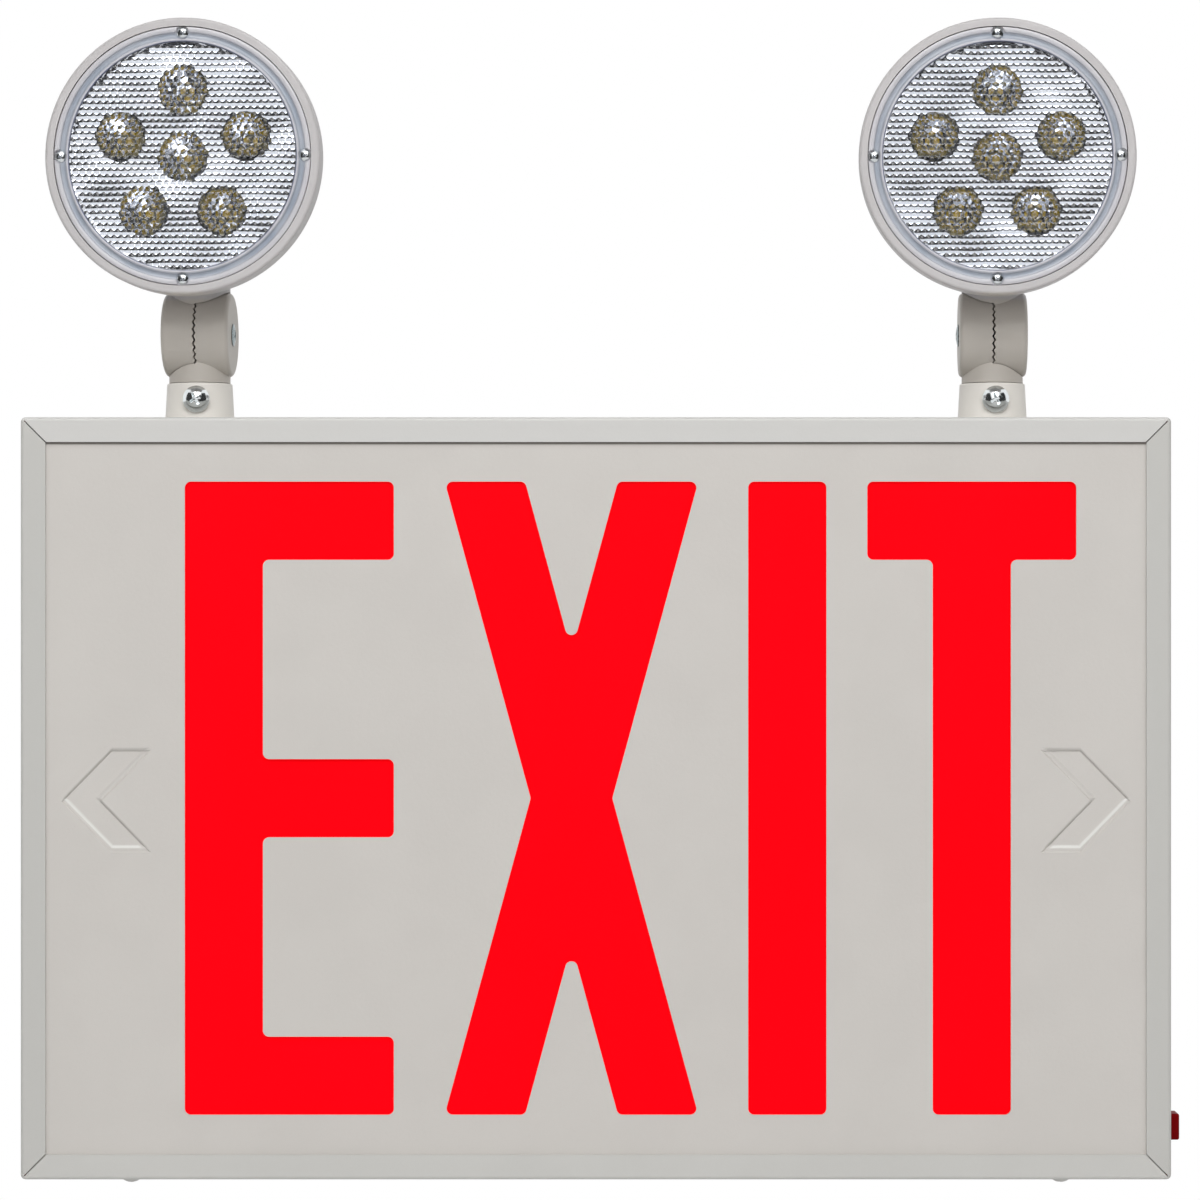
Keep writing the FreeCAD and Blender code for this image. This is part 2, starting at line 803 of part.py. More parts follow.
def make_panel_clips():
    """Six bent clips inside the skirt that press the panel forward."""
    body = new_body("panel_clips")
    wall = inner_half_height
    profile = new_sketch(body, "YZ_Plane", -S.clip_pitch - S.clip_length / 2)
    for level in (-1, 1):
        outline(profile, [
            (-panel_back, wall * level),
            (S.clip_foot - panel_back, wall * level),
            (S.clip_foot - panel_back, (wall - S.clip_sheet) * level),
            (S.clip_sheet - panel_back, (wall - S.clip_sheet) * level),
            (S.clip_sheet - panel_back, (wall - S.clip_reach) * level),
            (-panel_back, (wall - S.clip_reach) * level),
        ])
    first = pad(body, profile, S.clip_length)
    pattern(body, "LinearPattern", [first], "X_Axis", 3, S.clip_pitch * 2)


def make_light_strip(label, level):
    """A board of small lamps along the top or the bottom wall, facing the middle."""
    wall = box_half_height - S.housing_sheet
    board = new_body(f"{label}_light_strip")
    flat = new_sketch(board, "XY_Plane", wall * level)
    rectangle(flat, -strip_length / 2, strip_length / 2,
              -S.strip_depth - S.strip_width, -S.strip_depth)
    pad(board, flat, S.circuit_board, back=level > 0)
    chips = new_body(f"{label}_strip_lamps")
    first = new_sketch(chips, "XY_Plane", (wall - S.circuit_board) * level)
    start = S.chip_length - strip_length / 2
    middle = -S.strip_depth - S.strip_width / 2
    rectangle(first, start, start + S.chip_length,
              middle - S.chip_width / 2, middle + S.chip_width / 2)
    chip = pad(chips, first, S.chip_height, back=level > 0)
    run = strip_length - S.chip_length * 3
    pattern(chips, "LinearPattern", [chip], "X_Axis", S.chip_count, run)


# ---------------------------------------------------------------------------------------
# Inside the box: battery, charger board and the switch behind the test button.
# ---------------------------------------------------------------------------------------


def battery_span():
    """The left and right limits of the row of cells."""
    left = -S.battery_left - S.cell_radius
    right = S.cell_pitch * (S.cell_count - 1) - S.battery_left + S.cell_radius
    return left, right


def bracket_feet():
    """Where the two feet of the battery bracket are screwed down."""
    left, right = battery_span()
    reach = S.bracket_gap + S.bracket_sheet + S.bracket_foot / 2
    return [(left - reach, -S.battery_drop), (right + reach, -S.battery_drop)]


def standoff_places():
    """The four corners of the charger board."""
    left = S.board_left + S.board_inset
    right = S.board_left + S.board_width - S.board_inset
    high = S.board_top - S.board_inset
    low = S.board_top - S.board_height + S.board_inset
    return [(left, low), (right, low), (right, high), (left, high)]


def ground_place():
    """The grounding screw, between the entry knockout and the charger board."""
    return (-S.box_screw_spacing / 2, S.entry_height / 4)


def make_battery_pack():
    """A row of upright cells wrapped as one pack."""
    body = new_body("battery_pack")
    cell = new_sketch(body, "XY_Plane", -S.battery_drop - S.cell_length / 2)
    circle(cell, -S.battery_left, -S.housing_sheet - S.cell_radius, S.cell_radius)
    first = pad(body, cell, S.cell_length)
    run = S.cell_pitch * (S.cell_count - 1)
    pattern(body, "LinearPattern", [first], "X_Axis", S.cell_count, run)


def make_battery_bracket():
    """A bent strap over the pack with a foot at each end."""
    body = new_body("battery_bracket")
    left, right = battery_span()
    floor = -S.housing_sheet
    inner_left = left - S.bracket_gap
    inner_right = right + S.bracket_gap
    crest = floor - S.cell_radius * 2 - S.bracket_gap
    strap = new_sketch(body, "XY_Plane", -S.battery_drop - S.bracket_width / 2)
    outer_left = inner_left - S.bracket_sheet
    outer_right = inner_right + S.bracket_sheet
    outline(strap, [
        (outer_left - S.bracket_foot, floor), (inner_left, floor), (inner_left, crest),
        (inner_right, crest), (inner_right, floor), (outer_right + S.bracket_foot, floor),
        (outer_right + S.bracket_foot, floor - S.bracket_sheet),
        (outer_right, floor - S.bracket_sheet), (outer_right, crest - S.bracket_sheet),
        (outer_left, crest - S.bracket_sheet), (outer_left, floor - S.bracket_sheet),
        (outer_left - S.bracket_foot, floor - S.bracket_sheet),
    ])
    pad(body, strap, S.bracket_width)
    holes = new_sketch(body, "XZ_Plane", S.housing_sheet + S.bracket_sheet)
    for x, z in bracket_feet():
        circle(holes, x, z, S.bracket_screw_shank + S.thread_gap)
    pocket(body, holes, S.bracket_sheet)


def make_pan_screws(label, places, seat, head, height, shank, length):
    """Round-headed screws that face the reader, at the given places and seat depth."""
    body = new_body(label)
    heads = new_sketch(body, "XZ_Plane", seat)
    shanks = new_sketch(body, "XZ_Plane", seat)
    for x, z in places:
        circle(heads, x, z, head)
        circle(shanks, x, z, shank)
    pad(body, heads, height)
    round_edges(body, height / 2, lambda edge: flat_at(edge, "Y", -seat - height))
    pad(body, shanks, length, back=True)


def make_charger_board():
    """The charger's circuit board on four standoffs."""
    board = new_body("charger_board")
    flat = new_sketch(board, "XZ_Plane", board_depth)
    rectangle(flat, S.board_left, S.board_left + S.board_width,
              S.board_top - S.board_height, S.board_top)
    for x, z in standoff_places():
        circle(flat, x, z, S.board_screw_shank + S.thread_gap)
    pad(board, flat, S.circuit_board)
    posts = new_body("board_standoffs")
    hexes = new_sketch(posts, "XZ_Plane", S.housing_sheet)
    studs = new_sketch(posts, "XZ_Plane", S.housing_sheet)
    bores = new_sketch(posts, "XZ_Plane", board_depth)
    for x, z in standoff_places():
        hexagon(hexes, x, z, S.standoff_flats)
        circle(studs, x, z, S.standoff_stud)
        circle(bores, x, z, S.board_screw_shank + S.thread_gap)
    pad(posts, hexes, S.standoff_height)
    pad(posts, studs, S.housing_sheet * STUD_SHARE, back=True)
    pocket(posts, bores, S.board_screw_length)
    make_pan_screws("board_screws", standoff_places(), board_face, S.board_screw_head,
                    S.board_screw_height, S.board_screw_shank, S.board_screw_length)


def make_transformer():
    """A laminated core with two windows, and the coil wound round its middle leg."""
    x = S.board_left + S.core_width
    z = S.board_top - S.board_height / 2 - S.board_inset
    wide = S.core_width / 2
    tall = S.core_height / 2
    leg = S.core_leg
    back = board_face + S.coil_wall
    core = new_body("transformer_core")
    plates = new_sketch(core, "XZ_Plane", back)
    rectangle(plates, x - wide, x + wide, z - tall, z + tall)
    rectangle(plates, x - wide + leg, x - leg, z - tall + leg, z + tall - leg)
    rectangle(plates, x + leg, x + wide - leg, z - tall + leg, z + tall - leg)
    pad(core, plates, S.core_stack)
    coil = new_body("transformer_coil")
    ring = new_sketch(coil, "XY_Plane", z - tall + leg + S.coil_gap)
    reach = wide - leg - S.coil_gap
    rectangle(ring, x - reach, x + reach, -back - S.core_stack - S.coil_wall, -board_face)
    rectangle(ring, x - leg - S.coil_gap, x + leg + S.coil_gap,
              -back - S.core_stack - S.coil_gap, S.coil_gap - back)
    pad(coil, ring, S.core_height - (leg + S.coil_gap) * 2)


def make_board_parts():
    """Capacitors, relay, plugs and supply terminal, standing on the charger board."""
    right = S.board_left + S.board_width - S.part_inset
    cans = new_body("capacitors")
    rounds = new_sketch(cans, "XZ_Plane", board_face)
    for step in range(3):
        circle(rounds, right - S.capacitor_pitch * step, S.board_top - S.can_drop,
               S.capacitor_radius)
    pad(cans, rounds, S.capacitor_height)
    round_edges(cans, S.can_edge,
                lambda edge: flat_at(edge, "Y", -board_face - S.capacitor_height))
    relay = new_body("relay")
    block = new_sketch(relay, "XZ_Plane", board_face)
    relay_top = S.board_top - S.relay_drop
    rectangle(block, right - S.relay_width, right, relay_top - S.relay_height, relay_top)
    pad(relay, block, S.relay_depth)
    round_edges(relay, S.relay_edge, lambda edge: runs_along(edge, "y"))
    plugs = new_body("board_plugs")
    shells = new_sketch(plugs, "XZ_Plane", board_face)
    wells = new_sketch(plugs, "XZ_Plane", board_face + S.plug_depth)
    low = S.board_top - S.board_height + S.board_inset
    lip = S.plug_wall
    for step in range(3):
        left = right - S.plug_pitch * step - S.plug_width
        rectangle(shells, left, left + S.plug_width, low, low + S.plug_height)
        rectangle(wells, left + lip, left + S.plug_width - lip, low + lip,
                  low + S.plug_height - lip)
    pad(plugs, shells, S.plug_depth)
    pocket(plugs, wells, S.plug_well)
    terminal = new_body("supply_terminal")
    base = new_sketch(terminal, "XZ_Plane", board_face)
    left = S.board_left + S.part_inset
    high = S.board_top - S.board_inset / 2
    rectangle(base, left, left + S.terminal_width, high - S.terminal_height, high)
    pad(terminal, base, S.terminal_depth)
    throats = new_sketch(terminal, "XZ_Plane", board_face + S.terminal_depth)
    for step in range(3):
        circle(throats, left + S.terminal_width * (2 * step + 1) / 6,
               high - S.terminal_height / 2, S.terminal_width / 9)
    pocket(terminal, throats, S.terminal_depth / 2)


def make_test_switch():
    """The switch behind the end wall, with a well for the button's flange and shank."""
    body = new_body("test_switch")
    case = new_sketch(body, "YZ_Plane", switch_face)
    half = S.switch_side / 2
    rectangle(case, -button_depth - half, half - button_depth,
              -S.button_drop - half, half - S.button_drop)
    pad(body, case, S.switch_length, back=True)
    depths = (
        (S.button_flange_side, S.button_flange + S.button_travel + S.button_gap * 2),
        (S.button_shank, S.button_shank_length + S.button_travel + S.button_gap * 3),
    )
    for side, depth in depths:
        well = new_sketch(body, "YZ_Plane", switch_face)
        reach = side / 2 + S.button_gap
        rectangle(well, -button_depth - reach, reach - button_depth,
                  -S.button_drop - reach, reach - S.button_drop)
        pocket(body, well, depth)


def make_test_button():
    """The square push button: cap through the end wall, flange and shank in the switch."""
    body = new_body("test_button")
    stop = switch_face - S.button_gap / 2
    cap_length = S.housing_sheet + S.button_reach + S.button_gap / 2
    blocks = (
        (S.button_side, stop, cap_length, False),
        (S.button_flange_side, stop, S.button_flange, True),
        (S.button_shank, stop, S.button_shank_length, True),
    )
    for side, place, length, inward in blocks:
        square = new_sketch(body, "YZ_Plane", place)
        half = side / 2
        rectangle(square, -button_depth - half, half - button_depth,
                  -S.button_drop - half, half - S.button_drop)
        pad(body, square, length, back=inward)
        if not inward:
            tip = stop + cap_length
            round_edges(body, S.button_edge, lambda edge: runs_along(edge, "x")
                        or flat_at(edge, "X", tip))


def make_pilot_lamp():
    """The small domed charge lamp beside the button."""
    body = new_body("pilot_lamp")
    collar = new_sketch(body, "YZ_Plane", switch_face)
    circle(collar, -pilot_depth, -S.button_drop, S.pilot_collar)
    pad(body, collar, S.pilot_length, back=True)
    dome = new_sketch(body, "YZ_Plane", switch_face)
    circle(dome, -pilot_depth, -S.button_drop, S.pilot_radius)
    length = S.housing_sheet + S.pilot_reach
    pad(body, dome, length)
    round_edges(body, S.pilot_edge, lambda edge: flat_at(edge, "X", switch_face + length))


# ---------------------------------------------------------------------------------------
# Collars on the roof of the box, and the stems that swivel in them.
# ---------------------------------------------------------------------------------------


def make_collar(label, side):
    """A tapered sleeve with a threaded barrel through the roof, and the nut under it."""
    body = new_body(f"{label}_collar", lamp_x * side, -S.lamp_depth, box_half_height)
    bore = S.stem_shank + S.running_gap
    profile = new_sketch(body, "XZ_Plane")
    outline(profile, [
        (bore, -S.collar_barrel_length), (S.collar_barrel, -S.collar_barrel_length),
        (S.collar_barrel, 0), (S.collar_foot, 0), (S.collar_top, S.collar_height),
        (bore, S.collar_height),
    ])
    turn_feature(body, "Revolution", profile, "V_Axis")
    round_edges(body, S.collar_edge, lambda edge: flat_at(edge, "Z", S.collar_height)
                and edge.Curve.Radius > number(bore + S.collar_edge))
    cross = new_sketch(body, "XZ_Plane")
    circle(cross, 0, S.clamp_screw_height, S.clamp_screw_shank + S.thread_gap)
    pocket(body, cross, S.collar_foot + S.cut_past, back=True)
    nut = new_body(f"{label}_collar_nut", lamp_x * side, -S.lamp_depth, box_half_height)
    flats = new_sketch(nut, "XY_Plane", -S.housing_sheet)
    hexagon(flats, 0, 0, S.collar_nut_flats)
    circle(flats, 0, 0, S.collar_barrel + S.thread_gap)
    pad(nut, flats, S.collar_nut_height, back=True)


def make_clamp_screw(label, side):
    """The domed screw in the front of a collar; its tip rides in the stem's groove."""
    height = box_half_height + S.clamp_screw_height
    body = new_body(f"{label}_clamp_screw", lamp_x * side, -S.lamp_depth, height)
    dome = new_sketch(body, "XZ_Plane", S.collar_foot)
    circle(dome, 0, 0, S.clamp_screw_head)
    pad(body, dome, S.clamp_screw_dome)
    tip = -S.collar_foot - S.clamp_screw_dome
    round_edges(body, S.clamp_screw_dome * DOME_SHARE, lambda edge: flat_at(edge, "Y", tip))
    end = S.stem_shank - S.clamp_groove + S.clamp_tip_gap
    shank = new_sketch(body, "XZ_Plane", end)
    circle(shank, 0, 0, S.clamp_screw_shank)
    pad(body, shank, S.collar_foot - end)


def add_knuckle_half(body, side):
    """One toothed half of the knuckle, on the +X side of the pivot plane or on the -X side."""
    inward = side < 0
    barrel = new_sketch(body, "YZ_Plane", S.tooth_gap * side)
    circle(barrel, 0, 0, S.knuckle_radius)
    pad(body, barrel, S.knuckle_half_width - S.tooth_gap, back=inward)
    end = S.knuckle_half_width * side
    round_edges(body, S.knuckle_edge, lambda edge: flat_at(edge, "X", end))
    hollow = new_sketch(body, "YZ_Plane", S.tooth_gap * side)
    circle(hollow, 0, 0, S.hollow_outer)
    circle(hollow, 0, 0, S.hollow_inner)
    pocket(body, hollow, S.hollow_depth, back=not inward)
    bore = new_sketch(body, "YZ_Plane", 0)
    circle(bore, 0, 0, S.pivot_screw + S.pivot_gap)
    pocket(body, bore, S.knuckle_half_width + S.cut_past, back=not inward)
    face = new_sketch(body, "YZ_Plane", S.tooth_gap * side)
    circle(face, 0, 0, S.tooth_root)
    pocket(body, face, S.tooth_depth + S.tooth_relief, back=not inward)
    cut_teeth(body, side)


def cut_teeth(body, side):
    """Radial V grooves round the face. The -X half is turned by half a pitch, so the flat
    crests of one half face the roots of the other across an even gap."""
    pitch = 2 * math.pi / number(S.tooth_count)
    turn = pitch / 2 if side < 0 else 0
    reach = S.knuckle_radius + S.knuckle_gap / 2
    groove = new_sketch(body, "XZ_Plane", reach * math.cos(turn), 0, -reach * math.sin(turn))
    groove.AttachmentOffset.Rotation = FreeCAD.Rotation(FreeCAD.Vector(1, 0, 0),
                                                        math.degrees(turn))
    half = S.knuckle_radius * math.tan(pitch / 2) - S.tooth_crest / 2
    crest = S.tooth_gap * side
    outline(groove, [(crest, -half), (crest + S.tooth_depth * side, 0), (crest, half)])
    cut = pocket(body, groove, reach - S.tooth_root + S.tooth_depth)
    pattern(body, "PolarPattern", [cut], "X_Axis", S.tooth_count, 360)


def clear_other_half(body, side):
    """Cut the neck back to a saddle round the other half of the knuckle."""
    other = new_sketch(body, "YZ_Plane", S.tooth_gap * side)
    circle(other, 0, 0, S.knuckle_radius + S.knuckle_gap)
    pocket(body, other, S.neck_radius + S.cut_past, back=side < 0)


def make_stem(label, side):
    """The stem: a hollow shank in the collar, a neck, and its half of the knuckle."""
    body = new_body(f"{label}_stem", lamp_x * side, -S.lamp_depth, knuckle_height, S.head_turn)
    half = -side
    shoulder = S.collar_height + S.swivel_gap - S.knuckle_rise
    groove_middle = S.clamp_screw_height - S.knuckle_rise
    groove_half = S.clamp_screw_shank + S.clamp_tip_gap * 2
    groove_radius = S.stem_shank - S.clamp_groove
    ring_top = -S.knuckle_rise - S.collar_barrel_length - S.swivel_gap
    ring_low = ring_top - S.ring_sheet - S.swivel_gap
    profile = new_sketch(body, "XZ_Plane")
    outline(profile, [
        (0, shank_bottom), (S.stem_shank, shank_bottom), (S.stem_shank, ring_low),
        (S.stem_shank - S.ring_groove, ring_low), (S.stem_shank - S.ring_groove, ring_top),
        (S.stem_shank, ring_top), (S.stem_shank, groove_middle - groove_half),
        (groove_radius, groove_middle - groove_half), (groove_radius, groove_middle + groove_half),
        (S.stem_shank, groove_middle + groove_half), (S.stem_shank, shoulder),
        (S.neck_radius, shoulder), (S.neck_radius, 0), (0, 0),
    ])
    turn_feature(body, "Revolution", profile, "V_Axis")
    clear_other_half(body, half)
    add_knuckle_half(body, half)
    wire = new_sketch(body, "XY_Plane", -S.wire_turn)
    circle(wire, 0, 0, S.wire_bore)
    pocket(body, wire, -shank_bottom)
    ring = new_body(f"{label}_stem_ring", lamp_x * side, -S.lamp_depth, knuckle_height, S.head_turn)
    washer = new_sketch(ring, "XY_Plane", ring_top - S.swivel_gap / 2)
    circle(washer, 0, 0, S.ring_outer)
    circle(washer, 0, 0, S.stem_shank - S.ring_groove + S.running_gap)
    pad(ring, washer, S.ring_sheet, back=True)
    mouth = new_sketch(ring, "XY_Plane", ring_top)
    rectangle(mouth, 0, S.ring_outer + S.cut_past, -S.ring_mouth / 2, S.ring_mouth / 2)
    pocket(ring, mouth, S.ring_sheet * 2)


def make_knuckle_screw(label, side):
    """The pivot screw, with its head on the stem's half and its end in the captive nut."""
    body = new_body(f"{label}_knuckle_screw", lamp_x * side, -S.lamp_depth, knuckle_height, S.head_turn)
    half = -side
    seat = S.knuckle_half_width * half
    dome = new_sketch(body, "YZ_Plane", seat)
    circle(dome, 0, 0, S.pivot_head)
    pad(body, dome, S.pivot_dome, back=half < 0)
    top = seat + S.pivot_dome * half
    round_edges(body, S.pivot_dome / 2, lambda edge: flat_at(edge, "X", top))
    shank = new_sketch(body, "YZ_Plane", seat)
    circle(shank, 0, 0, S.pivot_screw)
    pad(body, shank, S.knuckle_half_width * 2 - S.swivel_gap * 2, back=half > 0)
    nut = new_body(f"{label}_knuckle_nut", lamp_x * side, -S.lamp_depth, knuckle_height, S.head_turn)
    flats = new_sketch(nut, "YZ_Plane", -seat)
    hexagon(flats, 0, 0, S.pivot_nut_flats)
    circle(flats, 0, 0, S.pivot_screw + S.pivot_gap)
    pad(nut, flats, S.pivot_nut_height, back=half < 0)


# ---------------------------------------------------------------------------------------
# Lamp heads: a turned shell on its half of the knuckle, lens, reflector, board and lamps.
# ---------------------------------------------------------------------------------------


def make_lamp_shell(label, side):
    """The shell: a rim and a bowl about the lamp's axis, and a neck down to the knuckle."""
    body = new_body(f"{label}_lamp_shell", lamp_x * side, -S.lamp_depth, knuckle_height, S.head_turn)
    front = -S.head_front
    rim_back = front + S.rim_depth
    outer = new_sketch(body, "YZ_Plane", 0, 0, head_rise)
    outline(outer, [
        (front, 0), (S.head_back, 0), (S.head_back, bowl_back_radius, S.bowl_curve),
        (rim_back, bowl_radius), (rim_back, head_radius), (front, head_radius),
    ])
    turn_feature(body, "Revolution", outer, "H_Axis")
    round_edges(body, S.bowl_edge, lambda edge: flat_at(edge, "Y", S.head_back))
    round_edges(body, S.rim_edge, lambda edge: near(edge.BoundBox.ZMax, head_rise + head_radius)
                and edge.BoundBox.YLength < SAME_PLACE)
    neck = new_sketch(body, "XY_Plane")
    circle(neck, 0, 0, S.neck_radius)
    pad(body, neck, head_rise - bowl_back_radius)
    clear_other_half(body, side)
    hollow_shell(body, front, rim_back)
    add_knuckle_half(body, side)
    wire = new_sketch(body, "XY_Plane", S.wire_turn)
    circle(wire, 0, 0, S.wire_bore)
    pocket(body, wire, head_rise - bowl_back_radius, back=True)
    pocket_nut = new_sketch(body, "YZ_Plane", S.knuckle_half_width * side)
    hexagon(pocket_nut, 0, 0, S.pivot_nut_flats + S.pivot_nut_gap * 2)
    pocket(body, pocket_nut, S.pivot_nut_height, back=side < 0)
    holes = new_sketch(body, "XZ_Plane", lens_seat, 0, head_rise)
    for x, z in circle_of(4, lens_screw_circle):
        circle(holes, x, z, S.lens_screw_shank + S.thread_gap)
    pocket(body, holes, S.rim_depth - S.lens_seat_depth)


def hollow_shell(body, front, rim_back):
    """Turn out the lens seat, the reflector's ledge and the bowl."""
    inner = new_sketch(body, "YZ_Plane", 0, 0, head_rise)
    floor = S.head_back - S.bowl_wall
    ledge = reflector_radius + S.lens_gap
    throat = reflector_radius - S.reflector_ledge
    shelf = rim_back + S.bowl_wall / 2
    outline(inner, [
        (front - S.cut_past, 0), (floor, 0), (floor, bowl_back_radius - S.bowl_wall,
                                     S.bowl_curve - S.bowl_wall),
        (shelf, bowl_radius - S.bowl_wall), (shelf, throat), (-reflector_back, throat),
        (-reflector_back, ledge), (-lens_seat, ledge), (-lens_seat, S.lens_seat_radius),
        (front - S.cut_past, S.lens_seat_radius),
    ])
    turn_feature(body, "Groove", inner, "H_Axis")


def make_lens(label, side):
    """The clear front: a flange that takes four screws, a groove, and the lens plate."""
    body = new_body(f"{label}_lens", lamp_x * side, -S.lamp_depth, head_height, S.head_turn)
    face = S.lens_gap - S.head_front
    back = face + S.lens_flange
    groove_floor = face + S.lens_groove
    groove_outer = lens_radius + S.lens_groove * 2
    rim = S.lens_seat_radius - S.lens_gap
    profile = new_sketch(body, "YZ_Plane")
    outline(profile, [
        (-lens_back, 0), (face, 0), (face, lens_radius), (groove_floor, lens_radius),
        (groove_floor, groove_outer - S.lens_groove), (face, groove_outer), (face, rim),
        (back, rim), (back, reflector_radius + S.lens_gap * 2),
        (-lens_back, reflector_radius + S.lens_gap * 2),
    ])
    turn_feature(body, "Revolution", profile, "H_Axis")
    through = new_sketch(body, "XZ_Plane", -face)
    recess = new_sketch(body, "XZ_Plane", -face)
    for x, z in circle_of(4, lens_screw_circle):
        circle(through, x, z, S.lens_screw_shank + S.lens_gap)
        circle(recess, x, z, S.lens_screw_head + S.lens_gap / 2)
    pocket(body, through, S.lens_flange + S.cut_past)
    pocket(body, recess, S.lens_screw_height)


def make_lens_screws(label, side):
    """Four small screws through the lens flange into the rim of the shell."""
    body = new_body(f"{label}_lens_screws", lamp_x * side, -S.lamp_depth, head_height, S.head_turn)
    seat = S.head_front - S.lens_gap - S.lens_screw_height
    heads = new_sketch(body, "XZ_Plane", seat)
    shanks = new_sketch(body, "XZ_Plane", seat)
    for x, z in circle_of(4, lens_screw_circle):
        circle(heads, x, z, S.lens_screw_head)
        circle(shanks, x, z, S.lens_screw_shank)
    pad(body, heads, S.lens_screw_height)
    front = -seat - S.lens_screw_height
    round_edges(body, S.lens_screw_height / 2, lambda edge: flat_at(edge, "Y", front))
    pad(body, shanks, S.lens_screw_length, back=True)


def cup_profile(body, up, extra):
    """Half the section of a curved cup about its own axis, grown outward by a wall."""
    sketch = new_sketch(body, "YZ_Plane", 0, 0, up)
    front = -reflector_front
    outline(sketch, [
        (front, 0), (-cup_end, 0), (-cup_end, S.cup_floor + extra, S.cup_curve + extra),
        (front, S.cup_mouth + extra),
    ])
    return sketch


def make_reflector(label, side):
    """A plate with six curved cups: one in the middle and five round it."""
    body = new_body(f"{label}_reflector", lamp_x * side, -S.lamp_depth, head_height, S.head_turn)
    plate = new_sketch(body, "XZ_Plane", reflector_back)
    circle(plate, 0, 0, reflector_radius)
    pad(body, plate, S.reflector_sheet)
    turn_feature(body, "Revolution", cup_profile(body, 0, S.cup_wall), "H_Axis")
    one = turn_feature(body, "Revolution", cup_profile(body, cup_circle, S.cup_wall), "H_Axis")
    pattern(body, "PolarPattern", [one], "Y_Axis", 5, 360)
    turn_feature(body, "Groove", cup_profile(body, 0, 0), "H_Axis")
    cut = turn_feature(body, "Groove", cup_profile(body, cup_circle, 0), "H_Axis")
    pattern(body, "PolarPattern", [cut], "Y_Axis", 5, 360)


def make_lamp_board(label, side):
    """The lamp board against the ends of the cups, and its six domed lamps."""
    board = new_body(f"{label}_lamp_board", lamp_x * side, -S.lamp_depth, head_height, S.head_turn)
    disc = new_sketch(board, "XZ_Plane", cup_end)
    circle(disc, 0, 0, lamp_board_radius)
    pad(board, disc, S.circuit_board, back=True)
    lamps = new_body(f"{label}_lamp_leds", lamp_x * side, -S.lamp_depth, head_height, S.head_turn)
    rounds = new_sketch(lamps, "XZ_Plane", cup_end)
    circle(rounds, 0, 0, S.led_radius)
    for x, z in circle_of(5, cup_circle):
        circle(rounds, x, z, S.led_radius)
    pad(lamps, rounds, S.led_height)
    round_edges(lamps, S.led_dome, lambda edge: flat_at(edge, "Y", -cup_end - S.led_height))


make_back_housing()
make_front_frame()
make_cover_screws()
make_stencil_plate()
make_red_panel()
make_panel_clips()
make_light_strip("upper", 1)
make_light_strip("lower", -1)
make_battery_pack()
make_battery_bracket()
make_pan_screws("bracket_screws", bracket_feet(), S.housing_sheet + S.bracket_sheet,
                S.bracket_screw_head, S.bracket_screw_height, S.bracket_screw_shank,
                S.bracket_sheet + S.housing_sheet * STUD_SHARE)
make_pan_screws("ground_screw", [ground_place()], S.housing_sheet, S.ground_screw_head,
                S.ground_screw_height, S.bracket_screw_shank, S.housing_sheet * STUD_SHARE)
make_charger_board()
make_transformer()
make_board_parts()
make_test_switch()
make_test_button()
make_pilot_lamp()
for lamp, hand in (("left", -1), ("right", 1)):
    make_collar(lamp, hand)
    make_clamp_screw(lamp, hand)
    make_stem(lamp, hand)
    make_knuckle_screw(lamp, hand)
    make_lamp_shell(lamp, hand)
    make_lens(lamp, hand)
    make_lens_screws(lamp, hand)
    make_reflector(lamp, hand)
    make_lamp_board(lamp, hand)
doc.recompute()

for item in doc.Objects:
    if "Invalid" in item.State or "Error" in item.State:
        raise RuntimeError(f"{item.Name} of {item.Label} failed: {item.State}")
os.makedirs("parts", exist_ok=True)
for body in PARTS:
    if body.Shape.isNull() or not body.Shape.isValid():
        raise RuntimeError(f"{body.Label} has no valid shape")
    body.Shape.exportStep(f"parts/{body.Label}.step")
print(f"{len(PARTS)} sub-parts written")
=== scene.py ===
"""The looks of an emergency exit light: steel sign box, cut-out legend and two lamp heads."""
import bpy
import json
import math
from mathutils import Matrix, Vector


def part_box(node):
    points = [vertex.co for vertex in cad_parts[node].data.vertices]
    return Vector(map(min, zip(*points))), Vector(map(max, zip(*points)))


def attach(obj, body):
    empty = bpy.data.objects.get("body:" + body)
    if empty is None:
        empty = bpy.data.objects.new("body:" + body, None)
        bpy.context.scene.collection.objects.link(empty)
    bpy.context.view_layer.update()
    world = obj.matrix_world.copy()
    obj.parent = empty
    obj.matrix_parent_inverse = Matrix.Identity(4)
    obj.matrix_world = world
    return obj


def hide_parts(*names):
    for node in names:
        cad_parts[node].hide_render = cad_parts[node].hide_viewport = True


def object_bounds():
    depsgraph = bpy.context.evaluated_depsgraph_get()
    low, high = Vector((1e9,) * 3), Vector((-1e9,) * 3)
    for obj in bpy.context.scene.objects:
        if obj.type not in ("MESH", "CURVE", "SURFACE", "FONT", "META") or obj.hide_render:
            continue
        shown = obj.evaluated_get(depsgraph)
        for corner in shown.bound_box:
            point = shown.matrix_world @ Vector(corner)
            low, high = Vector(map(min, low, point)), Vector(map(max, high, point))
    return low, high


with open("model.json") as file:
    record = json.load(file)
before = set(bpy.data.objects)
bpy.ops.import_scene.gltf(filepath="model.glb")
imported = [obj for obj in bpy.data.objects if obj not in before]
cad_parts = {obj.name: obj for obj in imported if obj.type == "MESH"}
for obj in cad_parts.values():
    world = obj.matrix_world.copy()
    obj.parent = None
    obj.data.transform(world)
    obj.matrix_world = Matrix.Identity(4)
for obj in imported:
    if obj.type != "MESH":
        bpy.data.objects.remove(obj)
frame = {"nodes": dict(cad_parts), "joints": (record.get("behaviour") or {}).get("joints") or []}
nodes = frame["nodes"]
cad_low, cad_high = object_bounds()

